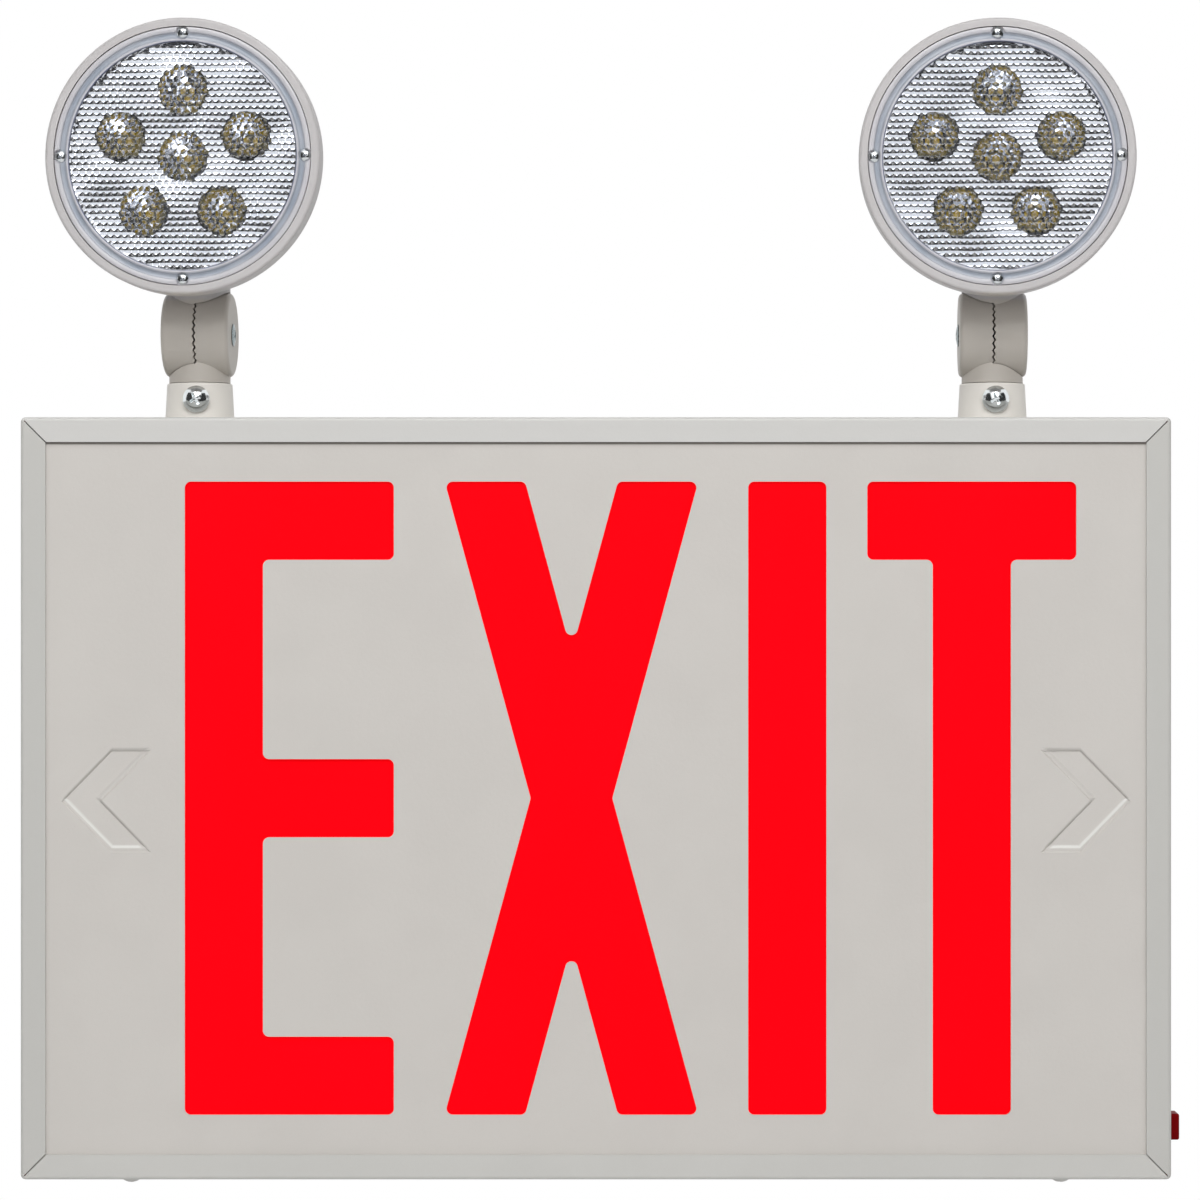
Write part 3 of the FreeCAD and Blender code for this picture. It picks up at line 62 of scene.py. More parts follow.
# The stage: a pale floor well below the sign, white surroundings, soft lamps above and in
# front, and black and white cards that only bright metal and clear plastic show.


def linear(red, green, blue):
    """A colour from its 0 to 255 screen values."""
    def one(part):
        part = part / 255
        return part / 12.92 if part <= 0.04045 else ((part + 0.055) / 1.055) ** 2.4
    return (one(red), one(green), one(blue), 1.0)


class Level:
    """A socket of a finish, so that shader sums read as plain arithmetic."""

    def __init__(self, finish, socket):
        self.finish = finish
        self.socket = socket

    def sum(self, operation, first, second=None):
        values = {0: first} if second is None else {0: first, 1: second}
        return self.finish.add("ShaderNodeMath", {"operation": operation}, values)

    def beside(self, name):
        """Another output of the same node."""
        return Level(self.finish, self.socket.node.outputs[name])

    def least(self, other):
        return self.sum("MINIMUM", self, other)

    def most(self, other):
        return self.sum("MAXIMUM", self, other)

    def __add__(self, other):
        return self.sum("ADD", self, other)

    def __sub__(self, other):
        return self.sum("SUBTRACT", self, other)

    def __rsub__(self, other):
        return self.sum("SUBTRACT", other, self)

    def __mul__(self, other):
        return self.sum("MULTIPLY", self, other)

    def __abs__(self):
        return self.sum("ABSOLUTE", self)

    __radd__ = __add__
    __rmul__ = __mul__


class Finish:
    """A material by name, with a shader whose plain values are set once."""

    def __init__(self, name, kind=bpy.data.materials, shader="Principled BSDF", **plain):
        self.material = kind.new(name)
        self.material.use_nodes = True
        self.tree = self.material.node_tree
        self.shader = self.tree.nodes[shader]
        for key, value in plain.items():
            self.shader.inputs[key.replace("_", " ").title().replace("Ior", "IOR")].default_value = value

    def add(self, kind, settings, values, output=0):
        """One node: its settings first, then the values or links of its sockets."""
        node = self.tree.nodes.new(kind)
        for key, value in settings.items():
            if key == "stops":
                while len(node.color_ramp.elements) < len(value):
                    node.color_ramp.elements.new(1)
                for element, (place, colour) in zip(node.color_ramp.elements, value):
                    element.position = place
                    element.color = colour
            else:
                setattr(node, key, value)
        for key, value in values.items():
            if isinstance(value, Level):
                self.tree.links.new(value.socket, node.inputs[key])
            else:
                node.inputs[key].default_value = value
        return Level(self, node.outputs[output])

    def place(self, centre=(0, 0, 0), scale=(1, 1, 1)):
        """Object coordinates about a centre."""
        where = self.add("ShaderNodeTexCoord", {}, {}, "Object")
        moved = self.add("ShaderNodeVectorMath", {"operation": "SUBTRACT"}, {0: where, 1: centre})
        return self.add("ShaderNodeMapping", {}, {"Vector": moved, "Scale": scale})

    def axes(self, centre=(0, 0, 0)):
        """Distances across, deep and upright from a centre."""
        across = self.add("ShaderNodeSeparateXYZ", {}, {0: self.place(centre)}, "X")
        return across, across.beside("Y"), across.beside("Z")

    def noise(self, scale, detail=2.0):
        return self.add("ShaderNodeTexNoise", {},
                        {"Vector": self.place(), "Scale": scale, "Detail": detail})

    def spread(self, value, low, high, to_low=0.0, to_high=1.0):
        return self.add("ShaderNodeMapRange", {"interpolation_type": "SMOOTHSTEP"},
                        {"Value": value, "From Min": low, "From Max": high,
                         "To Min": to_low, "To Max": to_high})

    def blend(self, amount, first, second):
        return self.add("ShaderNodeMix", {"data_type": "RGBA"}, {0: amount, 6: first, 7: second}, 2)

    def give(self, socket, value):
        self.tree.links.new(value.socket, self.shader.inputs[socket])

    def given(self, socket):
        """What a socket of the shader has been given so far."""
        return Level(self, self.shader.inputs[socket].links[0].from_socket)

    def bump(self, height, depth):
        """Raise the surface by the height times the depth in metres."""
        self.give("Normal", self.add("ShaderNodeBump", {}, {"Distance": depth, "Height": height}))

    def dress(self, *names):
        """Give this finish to CAD nodes, in place of the plain one that they came with."""
        for name in names:
            slots = nodes[name].data.materials
            for number in range(len(slots)):
                slots[number] = self.material


scene = bpy.context.scene
scene.view_settings.view_transform = "Standard"

bpy.ops.object.select_all(action="DESELECT")
bpy.ops.object.camera_add(location=(0.0013, -1.310, 0.0636), rotation=(math.radians(90), 0, 0))
camera = bpy.context.object
camera.data.lens = 117
camera.data.sensor_width = 36
camera.data.clip_start = 0.05
scene.camera = camera

INDIRECT_LIGHT = 0.36
surroundings = Finish("white_surroundings", bpy.data.worlds, "Background", color=(1, 1, 1, 1))
scene.world = surroundings.material
straight = surroundings.add("ShaderNodeLightPath", {}, {}, "Is Camera Ray")
seen = straight.most(straight.beside("Is Glossy Ray")).most(straight.beside("Is Transmission Ray"))
surroundings.give("Strength", surroundings.add("ShaderNodeMapRange", {}, {
    "Value": seen, "To Min": INDIRECT_LIGHT, "To Max": 1.0}))

FLOOR_DROP, FLOOR_RADIUS = 0.42, 1.6
bpy.ops.mesh.primitive_circle_add(vertices=96, radius=FLOOR_RADIUS, fill_type="NGON",
                                  location=(0, 0, cad_low.z - FLOOR_DROP))
floor = bpy.context.object
floor.name = "floor"
paper = Finish("pale_floor", base_color=(0.9, 0.9, 0.9, 1), roughness=0.9)
where = paper.add("ShaderNodeTexCoord", {}, {}, "Object")
distance = paper.add("ShaderNodeVectorMath", {"operation": "LENGTH"}, {0: where}, "Value")
fade = paper.spread(distance, 0.3, FLOOR_RADIUS - 0.1, 0.55, 1.0)
straight = paper.add("ShaderNodeLightPath", {}, {}, "Is Camera Ray")
glow = paper.add("ShaderNodeEmission", {}, {})
mixed = paper.add("ShaderNodeMixShader", {}, {
    0: straight * fade, 1: Level(paper, paper.shader.outputs["BSDF"]), 2: glow})
paper.tree.links.new(mixed.socket, paper.tree.nodes["Material Output"].inputs["Surface"])
floor.data.materials.append(paper.material)

for name, place, size, power in (
        ("lamp_above", (0.0, -1.5, 1.25), 1.3, 21.5),
        ("lamp_front_left", (-1.3, -1.9, 0.5), 0.8, 3.8),
        ("lamp_front_right", (1.3, -1.9, 0.4), 0.8, 3.8)):
    bpy.ops.object.light_add(type="AREA", location=place)
    lamp = bpy.context.object
    lamp.name = name
    lamp.data.size = size
    lamp.data.energy = power
    lamp.visible_glossy = name == "lamp_above"
    lamp.rotation_mode = "QUATERNION"
    lamp.rotation_quaternion = (Vector((0, 0, 0.02)) - Vector(place)).to_track_quat("-Z", "Y")

black_card = Finish("black_card", base_color=(0.015, 0.015, 0.015, 1))
white_card = Finish("white_card", base_color=(0, 0, 0, 1), emission_color=(1, 1, 1, 1),
                    emission_strength=1.0)
for name, place, size, tilt, turn, paint in (
        ("card_front", (0, -2.7, 0.6), (3.4, 4.2), 90, 0, black_card),
        ("card_left", (-2.3, -1.7, 0.6), (3.0, 4.2), 90, -50, black_card),
        ("card_right", (2.3, -1.7, 0.6), (3.0, 4.2), 90, 50, black_card),
        ("card_sky", (0, -1.95, 1.2), (2.9, 2.5), 55, 0, white_card)):
    bpy.ops.mesh.primitive_plane_add(size=1, location=place,
                                     rotation=(math.radians(tilt), 0, math.radians(turn)))
    card = bpy.context.object
    card.name = name
    card.scale = (size[0], size[1], 1)
    card.data.materials.append(paint.material)
    card.visible_camera = False
    card.visible_diffuse = False
    card.visible_shadow = False

# The box: a back pan and a picture frame folded from steel sheet, the frame slid over the
# pan and screwed from below, both in one off-white powder coat with an orange-peel skin.


def powder_coat(name, colour, shade, peel, depth, roughness):
    """Baked powder paint: faint cloudiness, orange peel and a scatter of fine specks."""
    coat = Finish(name, roughness=roughness, specular_ior_level=0.4)
    cloud = coat.noise(38, 3)
    grain = coat.noise(2600, 1)
    tone = coat.spread(cloud, 0.35, 0.65)
    body = coat.blend(tone, shade, colour)
    speck = coat.spread(grain, 0.62, 0.75) * 0.35
    coat.give("Base Color", coat.blend(speck, body, tuple(part * 0.9 for part in shade[:3]) + (1,)))
    coat.give("Roughness", coat.spread(grain, 0.3, 0.7, roughness - 0.06, roughness + 0.06))
    coat.bump(coat.noise(peel, 2) + grain * 0.3, depth)
    return coat


frame_coat = powder_coat("frame_powder_coat", linear(200, 199, 195), linear(198, 197, 193),
                         900, 0.00003, 0.42)
# The frame's top lip is painted lighter and its side lips darker than the rest of the coat: a painted
# highlight and painted shade for light falling from above.
side_lip_painted_shade, top_lip_painted_highlight = linear(193, 192, 188), linear(205, 204, 201)
lip_skin, lip_fade, mitre = 0.0014, 0.0006, 0.0001
frame_low, frame_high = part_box("front_frame")
half = (frame_high - frame_low) / 2
across, deep, upright = frame_coat.axes((frame_low + frame_high) / 2)
front = frame_coat.spread(deep, lip_skin + lip_fade - half.y, lip_skin - half.y)
corner = half.x - half.z
beside = frame_coat.spread(abs(across) - abs(upright), corner - mitre, corner + mitre)
above = frame_coat.spread(upright, 0, 0.001) * (1 - beside)
sides_with_painted_shade = frame_coat.blend(beside * front, frame_coat.given("Base Color"), side_lip_painted_shade)
frame_coat.give("Base Color", frame_coat.blend(above * front, sides_with_painted_shade, top_lip_painted_highlight))
frame_coat.dress("front_frame", "back_housing")

# The stencil plate: flat steel sheet held behind the frame's lips, in the same baked coat,
# with the legend cut through it and an arrow pressed into it at either end.
LIP_WIDTH = 0.0080
ARROW_INSET = 0.0135


def pressed_arrows(coat, across, upright, tip, width, arm, height, fillet, sunk):
    """Soften the edges of the two pressed arrows, as a press leaves them in sheet steel, and paint a
    highlight on their lower edges.
    """
    side, level = abs(across), abs(upright)
    lean = 2 * (width - arm) / height
    square = 1 / math.hypot(1, lean)
    inward = (tip - side - level * lean) * square
    outward = (arm * square) - inward
    near = inward.least(inward.least(outward)).least(height / 2 - level)
    skin = coat.given("Normal").socket.node
    peel = Level(coat, skin.inputs["Height"].links[0].from_socket)
    step = coat.spread(near, -fillet / 3, fillet) * (-sunk / skin.inputs["Distance"].default_value)
    coat.tree.links.new((peel + step).socket, skin.inputs["Height"])
    # A painted highlight: the arrows' lower, upward-facing edges are painted lighter, as light from
    # above would leave them.
    slope = coat.spread(near, -0.0002, 0.0002) * coat.spread(near, fillet * 1.3, fillet * 0.5)
    painted_highlight_mask = slope * coat.spread(upright, 0, -0.0004) * coat.spread(outward, fillet, fillet * 2)
    coat.give("Base Color", coat.blend(painted_highlight_mask * 0.6, coat.given("Base Color"), linear(236, 237, 232)))


face_coat = powder_coat("face_powder_coat", linear(204, 200, 195), linear(202, 198, 193),
                        700, 0.00004, 0.46)
plate_low, plate_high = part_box("stencil_plate")
across, _, upright = face_coat.axes((plate_low + plate_high) / 2)
pressed_arrows(face_coat, across, upright, tip=frame_high.x - ARROW_INSET, width=0.0273, arm=0.0117,
               height=0.032, fillet=0.0010, sunk=0.0005)
# A painted shadow: a dark band on the plate just under the top lip, where the lip's shadow falls.
lip = frame_high.z - LIP_WIDTH
lip_shadow = face_coat.spread(upright, lip - 0.0011, lip - 0.0003) * 0.85
face_coat.give("Base Color", face_coat.blend(lip_shadow, face_coat.given("Base Color"),
                                             linear(84, 76, 68)))
face_coat.dress("stencil_plate")

# The red panel: one sheet of translucent red acrylic behind the whole legend, held by
# folded clips, and evenly bright because light strips stand behind it.
red_acrylic = Finish("red_acrylic", roughness=0.35, specular_ior_level=0.03, emission_strength=0.35)
cloud = red_acrylic.spread(red_acrylic.noise(14, 2), 0.3, 0.7)
red_acrylic.give("Base Color", red_acrylic.blend(cloud, linear(246, 0, 12), linear(255, 0, 14)))
red_acrylic.give("Emission Color", red_acrylic.blend(cloud, linear(238, 0, 14), linear(255, 0, 16)))
red_acrylic.bump(red_acrylic.noise(160, 2), 0.00002)
red_acrylic.dress("red_panel")

# The lamp shells: moulded white plastic bowls with a square-shouldered rim. The neck under
# each bowl is cut to a saddle and turns on the toothed half of the knuckle below it.


def moulded(name, colour, shade, roughness=0.45, grain=1800, depth=0.00002, gloss=0.0):
    """Injection-moulded plastic: even colour, faint flow marks and a fine spark texture."""
    plastic = Finish(name, roughness=roughness, coat_weight=gloss, coat_roughness=0.2)
    flow = plastic.noise(30, 3)
    texture = plastic.noise(grain, 2)
    plastic.give("Base Color", plastic.blend(plastic.spread(flow, 0.35, 0.65), shade, colour))
    plastic.give("Roughness", plastic.spread(texture, 0.3, 0.7, roughness - 0.05, roughness + 0.05))
    plastic.bump(texture, depth)
    return plastic


lamp_plastic = moulded("lamp_plastic", linear(193, 190, 190), linear(189, 186, 186))
lens_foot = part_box("left_lens")[0].z
neck = lamp_plastic.spread(lamp_plastic.axes()[2], lens_foot - 0.0018, lens_foot - 0.0032)
lamp_plastic.give("Base Color", lamp_plastic.blend(neck, lamp_plastic.given("Base Color"),
                                                   linear(194, 188, 180)))
lamp_plastic.dress("left_lamp_shell", "right_lamp_shell")

# The stems and collars: each toothed lower knuckle half is moulded on a round stem, which
# turns in an off-white collar that is held to the top of the box by a nut inside.
stem_plastic = moulded("stem_plastic", linear(196, 190, 182), linear(192, 186, 178))
stem_plastic.dress("left_stem", "right_stem")
# The collar is painted lighter than its real colour: painted light that makes up for the shade the head
# casts on it.
lightened_collar = moulded("collar_enamel", linear(240, 236, 229), linear(236, 232, 225), 0.4)
lightened_collar.dress("left_collar", "right_collar")

# The reflectors: plastic plates with six cups, vacuum plated with bright metal and dropped
# into the shells, over a lamp board whose yellow chips look out through the cup floors.
LENS_THICKNESS = 0.0030
REFLECTOR_DROP = 0.0037


class Head:
    """Where a lamp head stands and faces: its lens centre line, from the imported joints."""

    def __init__(self, label):
        tilt = next(joint for joint in frame["joints"] if joint["name"] == f"{label}_tilt")
        pivot = Vector(tilt["pos_m"])
        self.axis = Vector(tilt["axis"])
        self.facing = Vector((self.axis.y, -self.axis.x, 0))
        low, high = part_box(f"{label}_lens")
        middle = (low + high) / 2
        self.centre = Vector((pivot.x, pivot.y, middle.z))
        self.lens_front = (middle - self.centre).length + LENS_THICKNESS / 2

    def at(self, across, up, out):
        """A point of the head: across and up in its face, and out from its upright axis."""
        return self.centre + self.axis * across + Vector((0, 0, up)) + self.facing * out


heads = {label: Head(label) for label in ("left", "right")}
for label, head in heads.items():
    chrome = Finish(f"{label}_chrome_reflector", metallic=1.0, roughness=0.06)
    haze = chrome.noise(60, 3)
    plate = chrome.blend(haze, linear(226, 228, 232), linear(244, 245, 248))
    face = chrome.place(head.at(0, 0, head.lens_front - REFLECTOR_DROP))
    depth = chrome.add("ShaderNodeVectorMath", {"operation": "DOT_PRODUCT"},
                       {0: face, 1: head.facing}, "Value")
    # Painted shade: the insides of the cups are painted darker than the flat plate, as the hollows fall
    # in shade.
    cups = chrome.spread(depth, -0.0008, -0.0035)
    chrome.give("Base Color", chrome.blend(cups, plate, linear(208, 210, 214)))
    chrome.give("Roughness", chrome.spread(haze, 0.3, 0.7, 0.04, 0.10))
    chrome.bump(chrome.noise(45, 1) + chrome.noise(220, 2) * 0.01, 0.0025)
    chrome.dress(f"{label}_reflector")

# The lens windows: clear polycarbonate plates whose fronts are covered with rows of small
# six-sided lenslets, which break the lamps behind into a sparkling honeycomb.
LENSLET_PITCH = 0.00225
LENSLET_RISE = 0.00042
WINDOW_RADIUS = 0.0363
WINDOW_THICKNESS = 0.0025


def alone(thing):
    """Select one object and make it the active one."""
    bpy.ops.object.select_all(action="DESELECT")
    thing.select_set(True)
    bpy.context.view_layer.objects.active = thing


def smooth(thing, angle):
    """Shade smooth, apart from the edges that are sharper than an angle in degrees."""
    alone(thing)
    bpy.ops.object.shade_smooth_by_angle(angle=math.radians(angle))


def use(thing, kind, **settings):
    """Add a modifier and apply it."""
    alone(thing)
    modifier = thing.modifiers.new(kind.lower(), kind)
    for key, value in settings.items():
        setattr(modifier, key, value)
    bpy.ops.object.modifier_apply(modifier=modifier.name)


def trim(thing, cutter, operation="DIFFERENCE"):
    """Cut one solid with another, which is used up."""
    use(thing, "BOOLEAN", operation=operation, solver="EXACT", object=cutter)
    bpy.data.objects.remove(cutter)


def coated(thing, finish):
    """One finish all over a new piece."""
    thing.data.materials.clear()
    thing.data.materials.append(finish.material)
    return thing


def settle(thing, name, centre, direction):
    """Turn a piece made about its own Z axis to a direction, move it, and apply both."""
    thing.name = name
    thing.rotation_mode = "QUATERNION"
    thing.rotation_quaternion = Vector(direction).to_track_quat("Z", "Y")
    thing.location = centre
    alone(thing)
    bpy.ops.object.transform_apply(location=True, rotation=True, scale=True)
    return thing


def copy_of(thing, name):
    """A second piece with its own mesh."""
    twin = thing.copy()
    twin.data = thing.data.copy()
    twin.name = name
    bpy.context.collection.objects.link(twin)
    return twin


def lens_window():
    """A plate with lenslets on its front, made about Z and trimmed to a circle."""
    pitch, row = LENSLET_PITCH, LENSLET_PITCH * math.sqrt(3) / 2
    columns, rows = 36, 20
    bpy.ops.object.select_all(action="DESELECT")
    bpy.ops.mesh.primitive_circle_add(vertices=6, radius=pitch / math.sqrt(3), fill_type="NGON")
    plate = bpy.context.object
    bpy.ops.object.mode_set(mode="EDIT")
    bpy.ops.mesh.select_all(action="SELECT")
    for inset, lift in ((0.26, 0.46), (0.32, 0.36)):
        bpy.ops.mesh.inset(thickness=pitch / 2 * inset, depth=LENSLET_RISE * lift)
    bpy.ops.mesh.poke(offset=LENSLET_RISE * 0.18)
    bpy.ops.object.mode_set(mode="OBJECT")
    for count, step in ((2, (pitch / 2, row, 0)), (columns, (pitch, 0, 0)), (rows, (0, row * 2, 0))):
        use(plate, "ARRAY", count=count, use_relative_offset=False, use_constant_offset=True,
            constant_offset_displace=step, use_merge_vertices=True, merge_threshold=pitch / 500)
    plate.location = (-pitch * (columns - 0.5) / 2, -row * (rows * 2 - 1) / 2, 0)
    alone(plate)
    bpy.ops.object.transform_apply(location=True)
    bpy.ops.object.mode_set(mode="EDIT")
    bpy.ops.mesh.select_all(action="DESELECT")
    bpy.ops.mesh.select_mode(type="EDGE")
    bpy.ops.mesh.select_non_manifold(extend=False)
    bpy.ops.mesh.extrude_region_move(
        TRANSFORM_OT_translate={"value": (0, 0, LENSLET_RISE - WINDOW_THICKNESS)})
    bpy.ops.mesh.edge_face_add()
    bpy.ops.mesh.select_all(action="SELECT")
    bpy.ops.mesh.normals_make_consistent(inside=False)
    bpy.ops.object.mode_set(mode="OBJECT")
    bpy.ops.object.select_all(action="DESELECT")
    bpy.ops.mesh.primitive_cylinder_add(vertices=144, radius=WINDOW_RADIUS, depth=0.02)
    trim(plate, bpy.context.object, "INTERSECT")
    smooth(plate, 32)
    return plate


clear_lens = Finish("clear_lens", roughness=0.02, transmission_weight=1.0, ior=1.49)
clear_lens.give("Base Color", clear_lens.blend(clear_lens.noise(40, 2), linear(244, 246, 250),
                                               linear(252, 253, 255)))

window = coated(lens_window(), clear_lens)
for label, head in heads.items():
    one = window if label == "right" else copy_of(window, "spare")
    settle(one, f"{label}_lens_window", head.at(0, 0, head.lens_front - LENSLET_RISE), head.facing)
    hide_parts(f"{label}_lens")
    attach(one, f"{label}_head")

# The lamp chips: white ceramic carriers, each with a small dot of yellow phosphor under a
# low dome, soldered to the lamp board at the floor of every reflector cup.
CHIP_RADIUS = 0.0023
CHIP_DROP = 0.001


def turned(profile, segments=128):
    """A form swept round Z through radius and height pairs; a radius of 0 closes an end."""
    capped = profile[0][0] == 0
    start, level = profile[1] if capped else profile[0]
    bpy.ops.object.select_all(action="DESELECT")
    bpy.ops.mesh.primitive_circle_add(vertices=segments, radius=start, location=(0, 0, level),
                                      fill_type="TRIFAN" if capped else "NOTHING")
    piece = bpy.context.object
    bpy.ops.object.transform_apply(location=True)
    bpy.ops.object.mode_set(mode="EDIT")
    bpy.ops.mesh.select_mode(type="EDGE")
    bpy.ops.mesh.select_all(action="DESELECT")
    bpy.ops.mesh.select_non_manifold(extend=False)
    for radius, height in profile[2 if capped else 1:]:
        bpy.ops.mesh.extrude_region_move(TRANSFORM_OT_translate={"value": (0, 0, height - level)})
        ratio = max(radius, start * 1e-5) / start
        bpy.ops.transform.resize(value=(ratio, ratio, 1), center_override=(0, 0, height))
        start, level = radius, height
    bpy.ops.mesh.select_all(action="SELECT")
    bpy.ops.mesh.remove_doubles(threshold=2e-6)
    bpy.ops.mesh.normals_make_consistent(inside=False)
    bpy.ops.object.mode_set(mode="OBJECT")
    return piece


def joined(things, name):
    """Several like pieces as one object."""
    bpy.ops.object.select_all(action="DESELECT")
    for thing in things:
        thing.select_set(True)
    bpy.context.view_layer.objects.active = things[0]
    bpy.ops.object.join()
    things[0].name = name
    return things[0]


ceramic = moulded("led_ceramic", linear(176, 160, 96), linear(158, 142, 80), 0.35)
phosphor = Finish("led_phosphor", roughness=0.2, coat_weight=0.8, coat_roughness=0.05)
phosphor.give("Base Color", phosphor.blend(phosphor.noise(700, 1), linear(170, 138, 14),
                                           linear(204, 170, 40)))
carrier = ((0, 0), (0.0021, 0), (CHIP_RADIUS, 0.0002), (CHIP_RADIUS, 0.0007), (0.0021, 0.0009),
           (0.0019, 0.0009), (0.00185, 0.0007), (0, 0.0007))
dome = ((0, 0.00069), (0.0018, 0.00069), (0.0018, 0.0010), (0.0014, 0.00145), (0.0007, 0.0017),
        (0, 0.00178))
for label, head in heads.items():
    low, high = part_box(f"{label}_lamp_leds")
    middle = (low + high) / 2
    ring = high.z - head.centre.z - CHIP_RADIUS
    out = (middle - head.centre).to_2d().length - CHIP_DROP
    chips = []
    for number in range(6):
        angle = math.radians(72 * number)
        reach = ring if number < 5 else 0
        spot = head.at(reach * math.sin(angle), reach * math.cos(angle), out)
        for profile, finish in ((carrier, ceramic), (dome, phosphor)):
            chips.append(settle(coated(turned(profile, 24), finish), "spare", spot, head.facing))
    lamps = joined(chips, f"{label}_led_chips")
    smooth(lamps, 40)
    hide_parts(f"{label}_lamp_leds")
    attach(lamps, f"{label}_head")

# The lens flanges: the frosted rim of each lens moulding, with a shallow groove round it
# and four counterbores for the screws that hold the lens in the shell.
FLANGE_RADIUS = 0.0412
SCREW_CIRCLE = 0.0393
COUNTERBORE_RADIUS = 0.00225
COUNTERBORE_DEPTH = 0.001


def lens_flange():
    """The rim's section in millimetres, from its outer wall over the groove to the inner wall."""
    mm = 0.001
    outer, inner, back = FLANGE_RADIUS / mm, 36.45, -3.0
    flange = turned([(radius * mm, height * mm) for radius, height in (
        (outer, back), (outer, -0.4), (outer - 0.12, -0.12), (outer - 0.4, 0), (39.9, 0),
        (39.55, -0.15), (39.25, -0.7), (38.9, -0.85), (38.2, -0.85), (37.85, -0.7),
        (37.55, -0.15), (37.25, 0), (36.9, 0), (36.62, -0.1), (inner, -0.35),
        (inner, back), (outer, back))])
    bpy.ops.object.select_all(action="DESELECT")
    for turn in range(4):
        angle = math.radians(90 * turn)
        bpy.ops.mesh.primitive_cylinder_add(
            vertices=40, radius=COUNTERBORE_RADIUS, depth=COUNTERBORE_DEPTH * 2,
            location=(SCREW_CIRCLE * math.sin(angle), SCREW_CIRCLE * math.cos(angle), 0))
        trim(flange, bpy.context.object)
    smooth(flange, 35)
    return flange


def flange_finish_with_painted_shade(label, centre):
    """Frosted plastic with painted shade in its groove and at the window's edge, and a painted highlight
    on the ring just outside that edge.
    """
    frosted = Finish(f"{label}_frosted_flange", roughness=0.34, coat_weight=0.25, coat_roughness=0.15)
    flat = frosted.place(centre, (1, 0, 1))
    radius = frosted.add("ShaderNodeVectorMath", {"operation": "LENGTH"}, {0: flat}, "Value")
    band = frosted.add("ShaderNodeMapRange", {}, {
        "Value": radius, "From Min": WINDOW_RADIUS, "From Max": FLANGE_RADIUS})
    # Painted shade and highlight by radius: dark at the window's edge, a light ring just outside it, and
    # bluish grey shade in the groove.
    stops = ((0.0, linear(78, 84, 110)), (0.08, linear(112, 118, 142)), (0.12, linear(200, 200, 206)),
             (0.15, linear(186, 185, 191)), (0.30, linear(150, 158, 170)), (0.52, linear(143, 152, 166)),
             (0.70, linear(190, 189, 194)), (1.0, linear(196, 194, 198)))
    tone = frosted.add("ShaderNodeValToRGB", {"stops": stops}, {0: band})
    mist = frosted.noise(90, 2)
    frosted.give("Base Color", frosted.blend(frosted.spread(mist, 0.3, 0.7, 0.0, 0.25), tone,
                                             linear(206, 206, 210)))
    frosted.bump(frosted.noise(1500, 1), 0.00001)
    return frosted


flange = lens_flange()
for label, head in heads.items():
    one = flange if label == "right" else copy_of(flange, "spare")
    coated(one, flange_finish_with_painted_shade(label, head.at(0, 0, head.lens_front)))
    settle(one, f"{label}_lens_flange", head.at(0, 0, head.lens_front), head.facing)
    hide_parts(f"{label}_lens")
    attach(one, f"{label}_head")

# The lamp screws: domed heads with a pressed cross recess, nickel plated round the lens,
# bright zinc at the collar's clamp and dull steel at the knuckle's pivot.
bright = Finish("bright_screw", metallic=1.0, roughness=0.12)
tarnish = bright.noise(900, 2)
bright.give("Base Color", bright.blend(tarnish, linear(214, 220, 222), linear(240, 243, 244)))
bright.give("Roughness", bright.spread(tarnish, 0.3, 0.7, 0.08, 0.16))
bright.bump(bright.noise(2500, 2), 0.000008)
pivot_steel = Finish("pivot_steel", metallic=1.0)
worn = pivot_steel.noise(1400, 2)
pivot_steel.give("Base Color", pivot_steel.blend(worn, linear(104, 118, 122), linear(150, 160, 162)))
pivot_steel.give("Roughness", pivot_steel.spread(worn, 0.3, 0.7, 0.22, 0.34))


def cross_screw(finish, head, rise, skirt, shank, reach):
    """A domed screw about Z, its skirt's foot at z = 0, with a tapered cross recess."""
    steps = 7
    ball = (head * head + rise * rise) / (2 * rise)
    profile = [(0, -reach), (shank * 0.6, -reach), (shank, -reach + shank * 0.4), (shank, -0.00002),
               (head * 0.96, 0), (head, head * 0.04), (head, skirt)]
    for step in range(1, steps):
        radius = head * (1 - step / steps)
        profile.append((radius, skirt + rise - ball + math.sqrt(ball ** 2 - radius ** 2)))
    profile.append((0, skirt + rise))
    screw = turned(profile[::-1], 40)
    blades = []
    for turn in (28, 118):
        bpy.ops.object.select_all(action="DESELECT")
        bpy.ops.mesh.primitive_cube_add(size=1, location=(0, 0, skirt + rise))
        blade = bpy.context.object
        blade.scale = (head * 1.35, head * 0.32, rise * 2.8)
        blade.rotation_euler = (0, 0, math.radians(turn))
        bpy.ops.object.transform_apply(location=False)
        bpy.ops.object.mode_set(mode="EDIT")
        bpy.ops.mesh.select_all(action="DESELECT")
        bpy.ops.mesh.select_mode(type="FACE")
        bpy.ops.object.mode_set(mode="OBJECT")
        for face in blade.data.polygons:
            face.select = face.normal.z < -0.9
        bpy.ops.object.mode_set(mode="EDIT")
        bpy.ops.transform.resize(value=(0.45, 0.45, 1))
        bpy.ops.object.mode_set(mode="OBJECT")
        blades.append(blade)
    for blade in blades:
        trim(screw, blade)
    smooth(screw, 35)
    return coated(screw, finish)


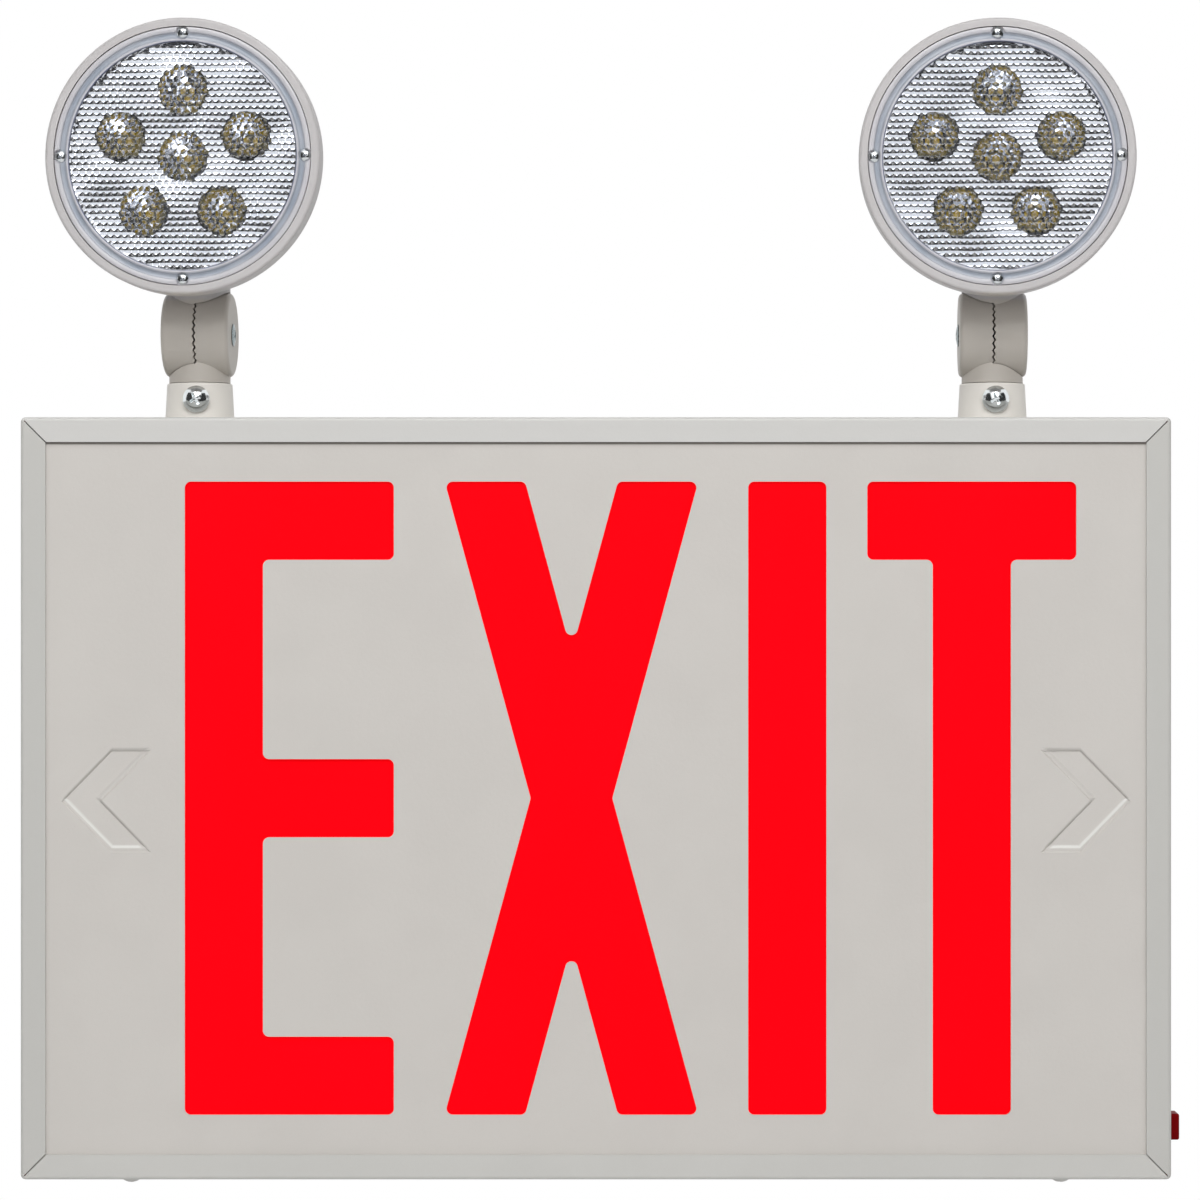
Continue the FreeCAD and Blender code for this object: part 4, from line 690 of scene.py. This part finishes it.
for label, head in heads.items():
    four = []
    for turn in range(4):
        angle = math.radians(90 * turn)
        spot = head.at(SCREW_CIRCLE * math.sin(angle), SCREW_CIRCLE * math.cos(angle),
                       head.lens_front - COUNTERBORE_DEPTH)
        screw = cross_screw(bright, head=0.00185, rise=0.00075, skirt=0.00025, shank=0.0010, reach=0.006)
        four.append(settle(screw, "spare", spot, head.facing))
    screws = joined(four, f"{label}_lens_cross_screws")
    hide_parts(f"{label}_lens_screws")
    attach(screws, f"{label}_head")

    low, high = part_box(f"{label}_clamp_screw")
    middle = (low + high) / 2
    rise, skirt = 0.0024, 0.0007
    seat = low.y + rise + skirt
    clamp = settle(cross_screw(bright, head=0.00435, rise=rise, skirt=skirt, shank=0.0019,
                               reach=high.y - seat - 0.0001),
                   f"{label}_clamp_cross_screw", (middle.x, seat, middle.z), (0, -1, 0))
    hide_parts(f"{label}_clamp_screw")
    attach(clamp, "box")

    low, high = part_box(f"{label}_knuckle_screw")
    middle = (low + high) / 2
    outward = 1 if label == "left" else -1
    plain_head, plain_width = 0.0023, 0.009
    length = (high.x - low.x - plain_width * abs(head.axis.y)) / head.axis.x
    foot = middle + head.axis * outward * (length / 2 - plain_head)
    pivot = settle(cross_screw(pivot_steel, head=0.0037, rise=0.0006, skirt=0.0003, shank=0.0025,
                               reach=length - plain_head),
                   f"{label}_pivot_cross_screw", foot, head.axis * outward)
    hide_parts(f"{label}_knuckle_screw")
    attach(pivot, f"{label}_stem")

# The cover screws: two domed screws driven up from below, which hold the frame on the back
# pan. They are painted over with the frame.
low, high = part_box("cover_screws")
pair = []
cover_head, rise, skirt = 0.0034, 0.0015, 0.0006
seat = low.z + rise + skirt
for x in (low.x + cover_head, high.x - cover_head):
    screw = cross_screw(frame_coat, head=cover_head, rise=rise, skirt=skirt, shank=0.00165,
                        reach=high.z - seat)
    pair.append(settle(screw, "spare", (x, (low.y + high.y) / 2, seat), (0, 0, -1)))
painted = joined(pair, "cover_cross_screws")
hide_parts("cover_screws")
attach(painted, "box")

# The test button and the pilot lamp: a red push cap and an amber lamp cap, both moulded
# plastic, which look out through holes in the right-hand end of the box.
button_red = moulded("button_red", linear(128, 2, 6), linear(112, 0, 4), 0.45, 900, 0.00001)
button_red.shader.inputs["Specular IOR Level"].default_value = 0.05
button_red.dress("test_button")
pilot_amber = moulded("pilot_amber", linear(214, 120, 20), linear(196, 100, 12), 0.2, 900, 0.00001, 0.6)
pilot_amber.dress("pilot_lamp")

# The fixings inside: clips, bracket, nuts, rings and screws of zinc-plated steel, a green
# ground screw, brass posts under the charger board and the transformer's steel core.


def metal(name, colour, shade, roughness, grain=400):
    """Plated or bare metal with a faint spangle."""
    finish = Finish(name, metallic=1.0, roughness=roughness)
    spangle = finish.noise(grain, 2)
    finish.give("Base Color", finish.blend(spangle, shade, colour))
    finish.give("Roughness", finish.spread(spangle, 0.3, 0.7, roughness - 0.08, roughness + 0.08))
    finish.bump(spangle, 0.00002)
    return finish


zinc = metal("zinc_steel", linear(190, 194, 198), linear(160, 165, 172), 0.35)
zinc.dress("panel_clips", "battery_bracket", "bracket_screws", "board_screws", "left_stem_ring",
           "right_stem_ring", "left_knuckle_nut", "right_knuckle_nut", "left_collar_nut",
           "right_collar_nut")
metal("green_screw", linear(40, 120, 60), linear(30, 96, 48), 0.4).dress("ground_screw")
metal("brass_posts", linear(196, 160, 84), linear(170, 134, 64), 0.35).dress("board_standoffs")
metal("core_steel", linear(120, 122, 126), linear(92, 94, 98), 0.5, 1500).dress("transformer_core")

# The boards, battery and wiring parts: green and grey laminate, moulded plastic, and wraps
# of film and tape, soldered or clipped in place behind the closed cover.
for name, colour, shade, parts in (
        ("board_green", (28, 104, 58), (18, 84, 46),
         ("charger_board", "upper_light_strip", "lower_light_strip")),
        ("lamp_board_grey", (96, 98, 104), (84, 86, 92), ("left_lamp_board", "right_lamp_board")),
        ("lamp_chip", (232, 214, 150), (222, 196, 120), ("upper_strip_lamps", "lower_strip_lamps")),
        ("battery_wrap", (46, 110, 178), (36, 92, 156), ("battery_pack",)),
        ("coil_tape", (206, 176, 70), (190, 156, 52), ("transformer_coil",)),
        ("capacitor_sleeve", (34, 34, 44), (24, 24, 32), ("capacitors",)),
        ("relay_black", (36, 36, 38), (26, 26, 28), ("relay", "test_switch")),
        ("plug_white", (232, 228, 216), (220, 214, 200), ("board_plugs",)),
        ("terminal_green", (48, 136, 80), (36, 116, 66), ("supply_terminal",))):
    moulded(name, linear(*colour), linear(*shade), 0.4).dress(*parts)
